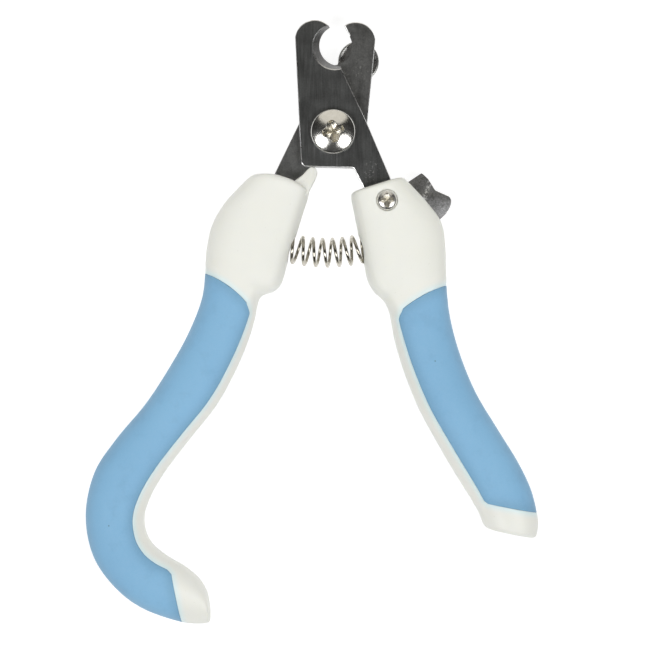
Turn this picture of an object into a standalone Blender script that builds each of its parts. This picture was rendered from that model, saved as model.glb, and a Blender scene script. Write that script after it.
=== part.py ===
"""Pet nail trimmer, lying on its back with the jaws towards +Y and the screw heads up.

The origin is on the pivot screw's axis, in the plane that the trimmer rests on.
Outlines are written in millimetres and turned into metres when a mesh is made.
"""
import math

import bmesh
import bpy
from mathutils import Matrix, Vector

MM = 0.001

# Handles: thickness of the skin, the seam between the half shells, the soft grip's skin.
SEAM_Z = 7.0
SEAM_GAP = 0.2
HALF_THICKNESS = 7.3
TIP_HALF_THICKNESS = 6.4
HOUSING_POWER = 3.8
GRIP_POWER = 2.2
GRIP_SKIN = 1.6
GRIP_CLEARANCE = 0.3
END_INSET = 1.2
ARC_STEPS = 8
GRIP_STEPS = 12

# Blades and the stack on the pivot screw, from the back (z = 0) to the front.
PLATE_CLEARANCE = 0.3
PIVOT_NUT_Z = (0.1, 2.75)
PIVOT_NUT_FLATS = 10.0
GUARD_Z = (2.85, 3.75)
GUARD_WASHER_Z = (3.85, 4.3)
REAR_BLADE_Z = (4.4, 6.9)
FRONT_BLADE_Z = (7.1, 9.6)
PIVOT_HEAD_Z = (9.7, 13.1)
PIVOT_HEAD_RADIUS = 6.0
PIVOT_DOME_RADIUS = 14.0
PIVOT_SHOULDER_Z = 11.2
PIVOT_SHANK_RADIUS = 2.9
PIVOT_HOLE_RADIUS = 3.1
PIVOT_RECESS = (2.9, 0.8, 11.0, 15.0)
GUARD_WASHER_RADIUS = 5.2
JAW_AXIS_LEAN = math.radians(1.4)

# Jaw notches: (x, y, radius) on the cutting face and on the bevelled face.
FRONT_NOTCH = ((1.7, 23.2, 5.35), (0.55, 22.6, 6.0))
REAR_NOTCH = ((0.0, 23.1, 5.1), (0.6, 22.4, 5.9))

# Jaw tips: angle where the head's arc starts, and points that lead to it.
FRONT_TIP = (40.0, [])
REAR_TIP = (53.5, [(-3.13, 25.98)])

# Safety guard: a round dished head on an arm that turns on the pivot screw.
GUARD_HEAD = (6.85, 19.3)
GUARD_HEAD_RADIUS = 5.5
GUARD_DISH_DEPTH = 1.5
GUARD_BOSS_RADIUS = 5.9
GUARD_ARM_HALF_WIDTH = 2.6
GUARD_ARM_OVERLAP = 0.2

# Lock lever on the lock screw.
LOCK_AXIS = (14.27, -18.4)
LOCK_END_Z = 0.2
LOCK_LEVER_Z = (2.8, 4.1)
LOCK_SLOT_Z = (2.6, 4.3)
LOCK_NUT_Z = (0.1, 1.9)
LOCK_NUT_FLATS = 5.5
LOCK_NUT_POCKET_TOP = 2.0
LOCK_SEAT_Z = 13.5
LOCK_WASHER_Z = (13.55, 13.85)
LOCK_WASHER_RADIUS = 2.6
LOCK_SEAT_RADIUS = 2.9
LOCK_HEAD_Z = (13.9, 15.6)
LOCK_HEAD_RADIUS = 2.7
LOCK_DOME_RADIUS = 6.5
LOCK_DOME_REACH = 2.1
LOCK_SHOULDER_HEIGHT = 0.6
LOCK_RECESS = (1.9, 0.42, 14.4, 0.0)
LOCK_SHANK_RADIUS = 1.45
LOCK_HOLE_RADIUS = 1.7
HOOK_ARM_ANGLE = math.radians(115)
HOOK_TOOTH_ANGLE = math.radians(136)
HOOK_INNER_RADIUS = 14.9
HOOK_OUTER_RADIUS = 16.7
HOOK_HALF_WIDTH = 1.5
HUB_RADIUS = 3.6
CLOSED_ANGLE = math.radians(26)
LOCK_POCKET_CLEARANCE = 0.5
LOCK_POCKET_ANGLES = (math.radians(112), math.radians(164))

# Dowel pins through the blade tangs.
DOWEL_RADIUS = 1.5
DOWEL_HOLE_RADIUS = 1.7
DOWEL_Z = (2.6, 11.4)
DOWEL_CHAMFER = 0.3
POCKET_SLACK = 0.2
LEFT_DOWELS = {"left_tang_pin_upper": (-18.2, -19.5), "left_tang_pin_lower": (-22.6, -29.0)}
RIGHT_DOWELS = {"right_tang_pin": (19.4, -29.0)}

# Return spring between the housings.
SPRING_ENDS = (-14.0, 10.4)
SPRING_END_Y = -30.2
SPRING_BOW = 1.9
SPRING_RADIUS = 3.65
SPRING_WIRE = 0.85
SPRING_PITCH = 2.87
SPRING_CLOSED_PITCH = 0.92
SPRING_PHASE_X = -2.9
SPRING_POINTS_PER_TURN = 12
SPRING_POCKET_RADIUS = 4.45
SPRING_POCKET_SLACK = 0.4
SPRING_POCKET_DEPTH = 12.0

# Each row is a section line: outer edge x, y, inner edge x, y, and its bow towards the jaws.
LEFT_ROWS = (
    (-21.2, -11.0, -6.2, -15.4, 1.3),
    (-25.2, -14.8, -6.8, -18.0, 0.5),
    (-29.4, -19.6, -7.7, -20.8, 0.0),
    (-32.4, -25.2, -9.4, -26.2, 0.0),
    (-33.5, -30.0, -11.8, -33.6, 0.3),
    (-33.8, -32.0, -13.8, -40.4, 0.7),
    (-33.9, -33.9, -15.6, -42.4, 1.0),
    (-34.0, -35.2, -19.2, -43.9, 1.3),
    (-34.0, -36.4, -20.3, -46.9, 1.5),
    (-34.1, -37.6, -20.6, -48.6, 1.5),
    (-34.9, -44.0, -21.9, -53.6, 0.8),
    (-38.4, -53.2, -25.2, -62.0, 0.0),
    (-43.7, -62.8, -30.8, -72.4, 0.0),
    (-50.0, -72.4, -38.3, -82.0, 0.0),
    (-58.0, -82.0, -45.5, -91.6, 0.0),
    (-63.6, -90.6, -49.0, -98.0, 0.0),
    (-66.0, -102.0, -50.3, -102.8, 0.0),
    (-64.0, -113.0, -49.6, -107.2, 0.0),
    (-58.4, -121.2, -48.2, -109.6, 0.0),
    (-51.2, -126.8, -46.6, -111.2, 0.0),
    (-40.2, -130.7, -43.6, -113.4, 0.0),
    (-36.6, -131.1, -38.9, -116.2, 0.0),
    (-34.2, -131.0, -35.4, -119.4, 0.0),
    (-32.6, -130.6, -33.4, -122.8, 0.0),
)
RIGHT_ROWS = (
    (18.6, -11.8, 4.9, -16.1, 0.0),
    (21.5, -14.8, 4.9, -18.0, 0.0),
    (25.4, -19.1, 5.5, -21.0, 0.0),
    (29.0, -24.4, 6.5, -26.0, 0.0),
    (30.0, -31.0, 8.1, -34.0, 0.2),
    (30.1, -35.0, 9.4, -40.0, 0.5),
    (30.2, -36.8, 11.2, -42.9, 0.8),
    (30.2, -38.2, 13.4, -44.9, 1.0),
    (30.3, -39.6, 14.9, -47.8, 1.1),
    (30.3, -40.8, 15.4, -50.0, 1.2),
    (31.1, -48.5, 16.3, -55.0, 0.5),
    (33.5, -58.0, 18.6, -63.0, 0.0),
    (38.0, -69.2, 22.8, -73.6, 0.0),
    (43.7, -78.8, 28.2, -83.6, 0.0),
    (49.6, -88.4, 32.9, -91.6, 0.0),
    (52.9, -95.5, 35.3, -95.4, 0.0),
    (54.4, -101.4, 36.9, -98.0, 0.0),
    (54.8, -104.4, 38.9, -101.6, 0.0),
    (54.3, -108.4, 40.5, -105.6, 0.0),
)
# Rows that lie so close together that no ring is needed between them and the next row.
CLOSE_ROWS = (5, 6, 7, 8)
# The grip lies between two of the rows, and leaves a rail bare along the inner edge.
GRIP_FIRST_ROW = 9
LEFT_GRIP_LAST_ROW = 20
RIGHT_GRIP_LAST_ROW = 16
LEFT_RAIL = (1.8, 3.2)
RIGHT_RAIL = (2.1, 3.4)

# Stop nub on the left housing, and heights well clear of the handles for through cutters.
NUB_Z = (7.15, 10.9)
BELOW = -1.0
ABOVE = 17.0

# Colour, roughness and metallic value of each material.
WHITE_PLASTIC = ((0.86, 0.87, 0.80), 0.42, 0.0)
BLUE_RUBBER = ((0.24, 0.45, 0.70), 0.65, 0.0)
BLADE_STEEL = ((0.16, 0.165, 0.165), 0.38, 1.0)
LEVER_STEEL = ((0.30, 0.30, 0.31), 0.48, 1.0)
NICKEL = ((0.62, 0.61, 0.57), 0.22, 1.0)
BRASS = ((0.62, 0.47, 0.28), 0.35, 1.0)


def clear_scene():
    """Remove every object that is already in the file."""
    for obj in list(bpy.data.objects):
        bpy.data.objects.remove(obj, do_unlink=True)


def new_collection(name):
    """Make a collection under the scene."""
    collection = bpy.data.collections.new(name)
    bpy.context.scene.collection.children.link(collection)
    return collection


def make_material(name, look):
    """Principled material from a colour, a roughness and a metallic value."""
    colour, roughness, metallic = look
    material = bpy.data.materials.new(name)
    material.use_nodes = True
    shader = material.node_tree.nodes["Principled BSDF"]
    shader.inputs["Base Color"].default_value = (*colour, 1.0)
    shader.inputs["Roughness"].default_value = roughness
    shader.inputs["Metallic"].default_value = metallic
    return material


def add_object(name, mesh, collection):
    """Put a mesh in the scene as an object of that name."""
    obj = bpy.data.objects.new(name, mesh)
    collection.objects.link(obj)
    return obj


def finish_part(obj, look, parent=None):
    """Give a part its own material, smooth faces with sharp edges, and a parent."""
    obj.data.materials.clear()
    obj.data.materials.append(make_material(obj.name + "_material", look))
    obj.data.shade_smooth()
    obj.data.set_sharp_from_angle(angle=math.radians(35))
    obj.parent = parent
    return obj


def make_cutter(obj):
    """Mark an object as a cutter, which is never drawn as a part."""
    obj.hide_render = True
    obj.display_type = "WIRE"
    return obj


def apply_boolean(target, cutter, operation="DIFFERENCE"):
    """Cut a part with a cutter, or join them."""
    modifier = target.modifiers.new(cutter.name, "BOOLEAN")
    modifier.operation = operation
    modifier.solver = "EXACT"
    modifier.object = cutter


def arc(centre, radius, start, end, steps):
    """Points along an arc, both ends included; angles in radians."""
    points = []
    for k in range(steps + 1):
        angle = start + (end - start) * k / steps
        points.append((centre[0] + radius * math.cos(angle), centre[1] + radius * math.sin(angle)))
    return points


def circle(centre, radius, steps=24):
    """Points of a whole circle."""
    return arc(centre, radius, 0.0, 2 * math.pi * (steps - 1) / steps, steps - 1)


def grown(outline, distance):
    """Outline moved outwards by a distance; the outline runs anticlockwise."""
    moved = []
    for k, point in enumerate(outline):
        before = Vector(outline[k - 1])
        after = Vector(outline[(k + 1) % len(outline)])
        here = Vector(point)
        first = (here - before).normalized()
        second = (after - here).normalized()
        normal = Vector((first.y + second.y, -first.x - second.x))
        stretch = distance / max(0.5, 1.0 + first.dot(second)) if normal.length > 0 else 0.0
        moved.append(tuple(here + normal * stretch))
    return moved


def flat_plate(name, outlines, z_range, collection, origin=(0.0, 0.0)):
    """Flat plate between two heights; every outline after the first is a hole."""
    bottom, top = z_range
    curve = bpy.data.curves.new(name + "_outline", "CURVE")
    curve.dimensions = "2D"
    curve.fill_mode = "BOTH"
    curve.extrude = (top - bottom) / 2 * MM
    for outline in outlines:
        spline = curve.splines.new("POLY")
        spline.points.add(len(outline) - 1)
        for point, (x, y) in zip(spline.points, outline):
            point.co = ((x - origin[0]) * MM, (y - origin[1]) * MM, 0.0, 1.0)
        spline.use_cyclic_u = True
    source = add_object(name + "_source", curve, collection)
    mesh = mesh_from_curve(source)
    mesh.transform(Matrix.Translation((0.0, 0.0, (top + bottom) / 2 * MM)))
    obj = add_object(name, mesh, collection)
    obj.location = (origin[0] * MM, origin[1] * MM, 0.0)
    return obj


def mesh_from_curve(source):
    """Welded mesh of a curve object, which is then removed."""
    bpy.context.view_layer.update()
    evaluated = source.evaluated_get(bpy.context.evaluated_depsgraph_get())
    mesh = bpy.data.meshes.new_from_object(evaluated)
    bm = bmesh.new()
    bm.from_mesh(mesh)
    bmesh.ops.remove_doubles(bm, verts=bm.verts, dist=1e-6)
    bmesh.ops.recalc_face_normals(bm, faces=bm.faces)
    bm.to_mesh(mesh)
    bm.free()
    bpy.data.objects.remove(source, do_unlink=True)
    return mesh


def turned_part(name, profile, collection, origin=(0.0, 0.0), steps=28):
    """Solid of revolution; the profile of (radius, height) runs from the top axis to the bottom."""
    mesh = bpy.data.meshes.new(name)
    points = [(radius * MM, 0.0, height * MM) for radius, height in profile]
    edges = [(k, k + 1) for k in range(len(points) - 1)]
    mesh.from_pydata(points, edges, [])
    obj = add_object(name, mesh, collection)
    obj.location = (origin[0] * MM, origin[1] * MM, 0.0)
    screw = obj.modifiers.new("turn", "SCREW")
    screw.steps = steps
    screw.render_steps = steps
    screw.use_merge_vertices = True
    screw.merge_threshold = 0.00001
    screw.use_smooth_shade = True
    return obj


def loft(name, rings, pair_sum, collection):
    """Closed skin over rings of points; end caps join point k to point pair_sum - k."""
    bm = bmesh.new()
    size = len(rings[0])
    rows = [[bm.verts.new(point * MM) for point in ring] for ring in rings]
    for low, high in zip(rows, rows[1:]):
        for k in range(size):
            n = (k + 1) % size
            bm.faces.new((low[k], low[n], high[n], high[k]))
    for row in (rows[0], rows[-1]):
        for k in range(size // 2):
            corners = [k, (k + 1) % size, (pair_sum - k - 1) % size, (pair_sum - k) % size]
            unique = list(dict.fromkeys(corners))
            if len(unique) > 2:
                bm.faces.new([row[corner] for corner in unique])
    bmesh.ops.recalc_face_normals(bm, faces=bm.faces)
    mesh = bpy.data.meshes.new(name)
    bm.to_mesh(mesh)
    bm.free()
    return add_object(name, mesh, collection)


def signed_power(value, power):
    """Power of a number that keeps its sign."""
    return math.copysign(abs(value) ** power, value)


def smooth_step(value):
    """Ease from 0 to 1 as the value goes from 0 to 1."""
    value = min(max(value, 0.0), 1.0)
    return value * value * (3.0 - 2.0 * value)


def curve_point(points, t):
    """Point at t on the centripetal Catmull-Rom curve through the points."""
    last = len(points) - 1
    i = min(int(t), last - 1)
    p1 = points[i]
    p2 = points[i + 1]
    p0 = points[i - 1] if i > 0 else 2 * p1 - p2
    p3 = points[i + 2] if i + 2 <= last else 2 * p2 - p1
    t1 = (p1 - p0).length ** 0.5
    t2 = t1 + (p2 - p1).length ** 0.5
    t3 = t2 + (p3 - p2).length ** 0.5
    s = t1 + (t - i) * (t2 - t1)
    a1 = p0.lerp(p1, s / t1)
    a2 = p1.lerp(p2, (s - t1) / (t2 - t1))
    a3 = p2.lerp(p3, (s - t2) / (t3 - t2))
    b1 = a1.lerp(a2, s / t2)
    b2 = a2.lerp(a3, (s - t1) / (t3 - t1))
    return b1.lerp(b2, (s - t1) / (t2 - t1))


class Handle:
    """Skin of a handle: section lines between its outer and inner edges, with rounded sections."""

    def __init__(self, rows, grip_last_row, rail):
        self.outer = [Vector(row[0:2]) for row in rows]
        self.inner = [Vector(row[2:4]) for row in rows]
        self.bows = [row[4] for row in rows]
        self.last = len(rows) - 1
        self.grip_last = grip_last_row
        self.rail = rail

    def section(self, t):
        """Centre, unit vector to the inner edge, half width, bow vector and power at t."""
        outer = curve_point(self.outer, t)
        inner = curve_point(self.inner, t)
        across = (inner - outer).normalized()
        upwards = Vector((-across.y, across.x))
        if upwards.y < 0:
            upwards = -upwards
        i = min(int(t), self.last - 1)
        bow = self.bows[i] + (self.bows[i + 1] - self.bows[i]) * (t - i)
        blend = smooth_step((t - GRIP_FIRST_ROW + 3) / 5)
        power = HOUSING_POWER + (GRIP_POWER - HOUSING_POWER) * blend
        return (outer + inner) / 2, across, (inner - outer).length / 2, upwards * bow, power

    def half_thickness(self, t):
        """Half thickness of the skin at t, thinner past the grip."""
        blend = smooth_step((t - self.grip_last + 1) / (self.last - self.grip_last + 1))
        return HALF_THICKNESS + (TIP_HALF_THICKNESS - HALF_THICKNESS) * blend

    def point(self, t, angle, inset=0.0):
        """Point on the skin at an angle round the section, which is 0 at the inner edge."""
        centre, across, half, bow, power = self.section(t)
        u = signed_power(math.cos(angle), 2 / power)
        v = signed_power(math.sin(angle), 2 / power)
        flat = centre + across * (half - inset) * u + bow * (1 - u * u)
        height = SEAM_Z + (self.half_thickness(t) - inset) * v
        return Vector((flat.x, flat.y, max(height, inset)))

    def ring_times(self):
        """Places of the rings along the handle, with the inset that rounds both ends."""
        times = [(0.0, END_INSET), (0.15, END_INSET / 3), (0.45, 0.0)]
        for row in range(1, self.last):
            times.append((float(row), 0.0))
            if row not in CLOSE_ROWS and row < self.last - 1:
                times.append((row + 0.5, 0.0))
        times += [(self.last - 0.45, 0.0), (self.last - 0.15, END_INSET / 3), (self.last, END_INSET)]
        return times

    def rail_angle(self, t, extra):
        """Angle round the section where the grip's edge lies, a rail's width from the inner edge."""
        half = self.section(t)[2]
        power = self.section(t)[4]
        share = min(max((t - GRIP_FIRST_ROW) / (self.grip_last - GRIP_FIRST_ROW), 0.0), 1.0)
        rail = self.rail[0] + (self.rail[1] - self.rail[0]) * share - extra
        return math.acos((1 - rail / half) ** (power / 2))


def half_shell(name, handle, front, collection):
    """Front or back half of a handle, closed by the flat face at the seam."""
    sign = 1 if front else -1
    seam = SEAM_Z + sign * SEAM_GAP / 2
    rings = []
    for t, inset in handle.ring_times():
        ring = [handle.point(t, sign * math.pi * k / ARC_STEPS, inset) for k in range(ARC_STEPS + 1)]
        ring[0].z = seam
        ring[-1].z = seam
        ring += [Vector((point.x, point.y, seam)) for point in reversed(ring[1:-1])]
        rings.append(ring)
    return loft(name, rings, 2 * ARC_STEPS, collection)


def grip_skin(name, handle, collection, clearance=0.0):
    """The soft skin round the outer side of a handle; with a clearance it is that skin's cutter."""
    times = [k / 2 for k in range(2 * GRIP_FIRST_ROW, 2 * handle.grip_last + 1)]
    outer_inset = 0.0
    if clearance:
        times = [times[0] - 0.25] + times + [times[-1] + 0.1]
        outer_inset = -1.0
    rings = []
    for t in times:
        start = handle.rail_angle(t, clearance)
        ring = []
        for j in range(GRIP_STEPS + 1):
            angle = start + (2 * math.pi - 2 * start) * j / GRIP_STEPS
            ring.append(handle.point(t, angle, outer_inset))
        for j in range(GRIP_STEPS, -1, -1):
            angle = start + (2 * math.pi - 2 * start) * j / GRIP_STEPS
            ring.append(handle.point(t, angle, GRIP_SKIN + clearance))
        rings.append(ring)
    return loft(name, rings, len(rings[0]) - 1, collection)


def blade_outline(tip):
    """Outline of a blade, anticlockwise from its tip: head, straight side, body, tang, slanting side.

    The tip is the angle where the head's arc starts, and the points that lead to it, if any.
    """
    tip_angle, tip_points = tip
    head = arc((-4.85, 24.5), 5.3, math.radians(tip_angle), math.radians(173), 10)
    corner = arc((-7.0, -7.75), 1.5, math.radians(180), math.radians(270), 4)
    left_side = [(-9.02, 2.2)]
    bottom = [(4.7, -9.25), (5.5, -9.6), (8.12, -14.83)]
    tang_end = [(16.7, -32.4), (17.6, -33.6), (22.4, -33.4), (23.5, -32.0)]
    right_side = [(15.5, -12.8), (9.2, 2.0), (2.15, 17.1)]
    return tip_points + head + left_side + corner + bottom + tang_end + right_side


def mirrored(outline):
    """Outline reflected in the jaws' leaning middle line, kept anticlockwise."""
    axis = Vector((math.sin(JAW_AXIS_LEAN), math.cos(JAW_AXIS_LEAN)))
    points = []
    for point in reversed(outline):
        here = Vector(point)
        points.append(tuple(2 * here.dot(axis) * axis - here))
    return points


def notch_cutter(name, notch, z_cutting, z_bevel, collection):
    """Sheared cone that passes through a blade and leaves its cutting edge on one face."""
    overrun = 0.2
    rings = []
    for share in (-overrun, 1.0 + overrun):
        x = notch[0][0] + (notch[1][0] - notch[0][0]) * share
        y = notch[0][1] + (notch[1][1] - notch[0][1]) * share
        radius = notch[0][2] + (notch[1][2] - notch[0][2]) * share
        z = z_cutting + (z_bevel - z_cutting) * share
        rings.append([Vector((px, py, z)) for px, py in circle((x, y), radius, 48)])
    return make_cutter(loft(name, rings, 48, collection))


def build_blades(parts, cutters, right_axis):
    """Both blades, with their notches and the holes for the pivot, the dowels and the lock screw."""
    pivot_hole = circle((0.0, 0.0), PIVOT_HOLE_RADIUS, 32)
    front_holes = [circle(place, DOWEL_HOLE_RADIUS, 16) for place in RIGHT_DOWELS.values()]
    front_holes.append(circle(LOCK_AXIS, LOCK_HOLE_RADIUS, 16))
    front = flat_plate("front_blade", [blade_outline(FRONT_TIP), pivot_hole] + front_holes,
                       FRONT_BLADE_Z, parts)
    front_cutter = notch_cutter("front_notch_cutter", FRONT_NOTCH, FRONT_BLADE_Z[0],
                                FRONT_BLADE_Z[1], cutters)
    apply_boolean(front, front_cutter)
    finish_part(front, BLADE_STEEL, right_axis)

    rear_holes = [circle(place, DOWEL_HOLE_RADIUS, 16) for place in LEFT_DOWELS.values()]
    rear = flat_plate("rear_blade", [mirrored(blade_outline(REAR_TIP)), pivot_hole] + rear_holes,
                      REAR_BLADE_Z, parts)
    rear_cutter = notch_cutter("rear_notch_cutter", REAR_NOTCH, REAR_BLADE_Z[1],
                               REAR_BLADE_Z[0], cutters)
    apply_boolean(rear, rear_cutter)
    finish_part(rear, BLADE_STEEL)


def tang_outline():
    """Outline of the front blade's tang alone, anticlockwise, from above the housing to its end."""
    return [(3.5, -6.0), (8.12, -14.83), (16.7, -32.4), (17.6, -33.6), (22.4, -33.4),
            (23.5, -32.0), (15.5, -12.8), (12.5, -6.0)]


def build_pivot_stack(parts, cutters):
    """Pivot screw with its cross recess, its nut and the guard washer."""
    bottom, top = PIVOT_HEAD_Z
    edge = 0.3
    rim_angle = math.acos(PIVOT_HEAD_RADIUS / PIVOT_DOME_RADIUS)
    dome = arc((0.0, top - PIVOT_DOME_RADIUS), PIVOT_DOME_RADIUS, math.radians(90), rim_angle, 6)
    profile = dome + [(PIVOT_HEAD_RADIUS, PIVOT_SHOULDER_Z), (PIVOT_HEAD_RADIUS, bottom + edge),
                      (PIVOT_HEAD_RADIUS - edge, bottom),
                      (PIVOT_SHANK_RADIUS, bottom), (PIVOT_SHANK_RADIUS, 0.0), (0.0, 0.0)]
    screw = turned_part("pivot_screw", profile, parts)
    apply_boolean(screw, cross_cutter("pivot_recess_cutter", (0.0, 0.0), PIVOT_RECESS, cutters))
    finish_part(screw, NICKEL)
    hole = circle((0.0, 0.0), PIVOT_HOLE_RADIUS, 32)
    nut = flat_plate("pivot_nut", [hexagon((0.0, 0.0), PIVOT_NUT_FLATS), hole], PIVOT_NUT_Z, parts)
    finish_part(nut, NICKEL)
    rim = circle((0.0, 0.0), GUARD_WASHER_RADIUS, 32)
    washer = flat_plate("guard_washer", [rim, hole], GUARD_WASHER_Z, parts)
    finish_part(washer, NICKEL)


def hexagon(centre, flats):
    """Outline of a hexagon nut, given the distance across its flats."""
    return circle(centre, flats / math.sqrt(3), 6)


def cross_cutter(name, centre, recess, collection):
    """Cross-shaped cutter for a drive recess: its reach, half width, floor height and turn in degrees."""
    reach, half_width, floor_z, turn_degrees = recess
    corner_reach = 1.6
    corners = []
    for quarter in range(4):
        angle = math.radians(turn_degrees + 90 * quarter)
        along = Vector((math.cos(angle), math.sin(angle)))
        side = Vector((-along.y, along.x))
        for point in (along * reach - side * half_width, along * reach + side * half_width,
                      (along + side) * half_width * corner_reach):
            corners.append((centre[0] + point.x, centre[1] + point.y))
    return make_cutter(flat_plate(name, [corners], (floor_z, ABOVE), collection))


def build_guard(parts, cutters):
    """Safety guard: boss and arm in one plate, joined to a dished round head."""
    hole = circle((0.0, 0.0), PIVOT_HOLE_RADIUS, 32)
    guard = flat_plate("safety_guard", [guard_outline(), hole], GUARD_Z, parts)
    dish = turned_part("guard_head_join", dish_profile(), cutters, GUARD_HEAD, 28)
    apply_boolean(guard, make_cutter(dish), "UNION")
    finish_part(guard, LEVER_STEEL)


def guard_outline():
    """Guard's boss and arm, full width on the left of the arm and narrow on its right."""
    aim = math.atan2(GUARD_HEAD[1], GUARD_HEAD[0])
    joint_radius = GUARD_HEAD_RADIUS - GUARD_ARM_OVERLAP
    boss_spread = math.asin(GUARD_ARM_HALF_WIDTH / GUARD_BOSS_RADIUS)
    joint_spread = math.asin(GUARD_ARM_HALF_WIDTH / joint_radius)
    left = aim + math.pi / 2
    boss = arc((0.0, 0.0), GUARD_BOSS_RADIUS, left, aim + 2 * math.pi - boss_spread, 24)
    joint = arc(GUARD_HEAD, joint_radius, aim + math.pi + joint_spread, left, 10)
    return boss + joint


def dish_profile():
    """Half section of the guard's head: a shallow dish of even thickness with its rim at the top."""
    bottom, top = GUARD_Z
    thickness = top - bottom
    rim = GUARD_HEAD_RADIUS
    upper = []
    for k in range(6):
        share = k / 5
        drop = GUARD_DISH_DEPTH * (1 - smooth_step(share * 1.1))
        upper.append((rim * 0.97 * share, top - drop))
    lower = [(radius, height - thickness) for radius, height in reversed(upper)]
    return upper + [(rim, top - thickness / 3), (rim, bottom + thickness / 3)] + lower


def lever_outline():
    """Lock lever seen from the front in its open place: thumb tab, hub and hidden hook arm."""
    hub = LOCK_AXIS
    tab = [(19.95, -13.2), (23.8, -10.6), (25.6, -12.3), (26.75, -14.2), (27.4, -15.3), (31.3, -17.0),
           (31.8, -18.1), (31.4, -19.8), (30.2, -21.7), (28.4, -23.4), (22.3, -22.0), (16.8, -21.5)]
    hub_spread = math.asin(HOOK_HALF_WIDTH / HUB_RADIUS)
    inner_spread = math.asin(HOOK_HALF_WIDTH / HOOK_INNER_RADIUS)
    outer_spread = math.asin(HOOK_HALF_WIDTH / HOOK_OUTER_RADIUS)
    below = arc(hub, HUB_RADIUS, math.radians(-70), HOOK_ARM_ANGLE + hub_spread - 2 * math.pi, 8)
    throat = arc(hub, HOOK_INNER_RADIUS, HOOK_ARM_ANGLE + inner_spread, HOOK_TOOTH_ANGLE, 4)
    crown = arc(hub, HOOK_OUTER_RADIUS, HOOK_TOOTH_ANGLE, HOOK_ARM_ANGLE - outer_spread, 6)
    above = arc(hub, HUB_RADIUS, HOOK_ARM_ANGLE - hub_spread, math.radians(62), 2)
    clockwise = tab + below + throat + crown + above
    return list(reversed(clockwise))


def build_lock(parts, right_axis):
    """Lock lever and its screw, washer and nut."""
    hole = circle(LOCK_AXIS, LOCK_HOLE_RADIUS, 24)
    lever = flat_plate("lock_lever", [lever_outline(), hole], LOCK_LEVER_Z, parts, LOCK_AXIS)
    finish_part(lever, LEVER_STEEL, right_axis)
    nut = flat_plate("lock_nut", [hexagon(LOCK_AXIS, LOCK_NUT_FLATS), hole], LOCK_NUT_Z, parts, LOCK_AXIS)
    finish_part(nut, NICKEL, right_axis)
    rim = circle(LOCK_AXIS, LOCK_WASHER_RADIUS, 24)
    washer = flat_plate("lock_washer", [rim, hole], LOCK_WASHER_Z, parts, LOCK_AXIS)
    finish_part(washer, BRASS, right_axis)


def build_lock_screw(parts, cutters, right_axis):
    """Small pan-head screw that the lock lever turns on."""
    bottom, top = LOCK_HEAD_Z
    dome_angle = math.acos(LOCK_DOME_REACH / LOCK_DOME_RADIUS)
    dome = arc((0.0, top - LOCK_DOME_RADIUS), LOCK_DOME_RADIUS, math.radians(90), dome_angle, 5)
    profile = dome + [(LOCK_HEAD_RADIUS, bottom + LOCK_SHOULDER_HEIGHT), (LOCK_HEAD_RADIUS, bottom),
                      (LOCK_SHANK_RADIUS, bottom), (LOCK_SHANK_RADIUS, LOCK_END_Z), (0.0, LOCK_END_Z)]
    screw = turned_part("lock_screw", profile, parts, LOCK_AXIS, 24)
    apply_boolean(screw, cross_cutter("lock_recess_cutter", LOCK_AXIS, LOCK_RECESS, cutters))
    finish_part(screw, NICKEL, right_axis)


def build_dowels(dowels, parts, parent=None):
    """Dowel pins with chamfered ends."""
    bottom, top = DOWEL_Z
    chamfer = DOWEL_CHAMFER
    for name, place in dowels.items():
        profile = [(0.0, top), (DOWEL_RADIUS - chamfer, top), (DOWEL_RADIUS, top - chamfer),
                   (DOWEL_RADIUS, bottom + chamfer), (DOWEL_RADIUS - chamfer, bottom), (0.0, bottom)]
        finish_part(turned_part(name, profile, parts, place, 16), NICKEL, parent)


def spring_point(angle):
    """Point of the spring's wire; the end turns lie closed against the pockets."""
    turns = angle / (2 * math.pi)
    open_first, open_last = spring_open_turns()
    if turns < open_first:
        x = SPRING_PHASE_X + SPRING_PITCH * open_first + SPRING_CLOSED_PITCH * (turns - open_first)
    elif turns > open_last:
        x = SPRING_PHASE_X + SPRING_PITCH * open_last + SPRING_CLOSED_PITCH * (turns - open_last)
    else:
        x = SPRING_PHASE_X + SPRING_PITCH * turns
    y, slope = spring_axis(x)
    normal = Vector((-slope, 1.0)).normalized() * SPRING_RADIUS * math.cos(angle)
    return x + normal.x, y + normal.y, SEAM_Z + SPRING_RADIUS * math.sin(angle)


def spring_open_turns():
    """Turn numbers between which the spring's coils stand apart."""
    margin = SPRING_WIRE / 2 + SPRING_CLOSED_PITCH
    first = (SPRING_ENDS[0] + margin - SPRING_PHASE_X) / SPRING_PITCH
    last = (SPRING_ENDS[1] - margin - SPRING_PHASE_X) / SPRING_PITCH
    return first, last


def spring_axis(x):
    """Height y and slope of the spring's bowed axis at x."""
    middle = (SPRING_ENDS[0] + SPRING_ENDS[1]) / 2
    half = (SPRING_ENDS[1] - SPRING_ENDS[0]) / 2
    share = (x - middle) / half
    return SPRING_END_Y - SPRING_BOW * (1 - share * share), 2 * SPRING_BOW * share / half


def build_spring(parts):
    """Coil spring between the two housings, a tube along a helix."""
    curve = bpy.data.curves.new("return_spring", "CURVE")
    curve.dimensions = "3D"
    curve.bevel_depth = SPRING_WIRE / 2 * MM
    curve.bevel_resolution = 2
    curve.use_fill_caps = True
    first = spring_open_turns()[0] - 1
    last = spring_open_turns()[1] + 1
    count = round((last - first) * SPRING_POINTS_PER_TURN)
    spline = curve.splines.new("POLY")
    spline.points.add(count)
    for k, point in enumerate(spline.points):
        x, y, z = spring_point(2 * math.pi * (first + (last - first) * k / count))
        point.co = (x * MM, y * MM, z * MM, 1.0)
    source = add_object("return_spring_source", curve, parts)
    finish_part(add_object("return_spring", mesh_from_curve(source), parts), NICKEL)


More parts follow.
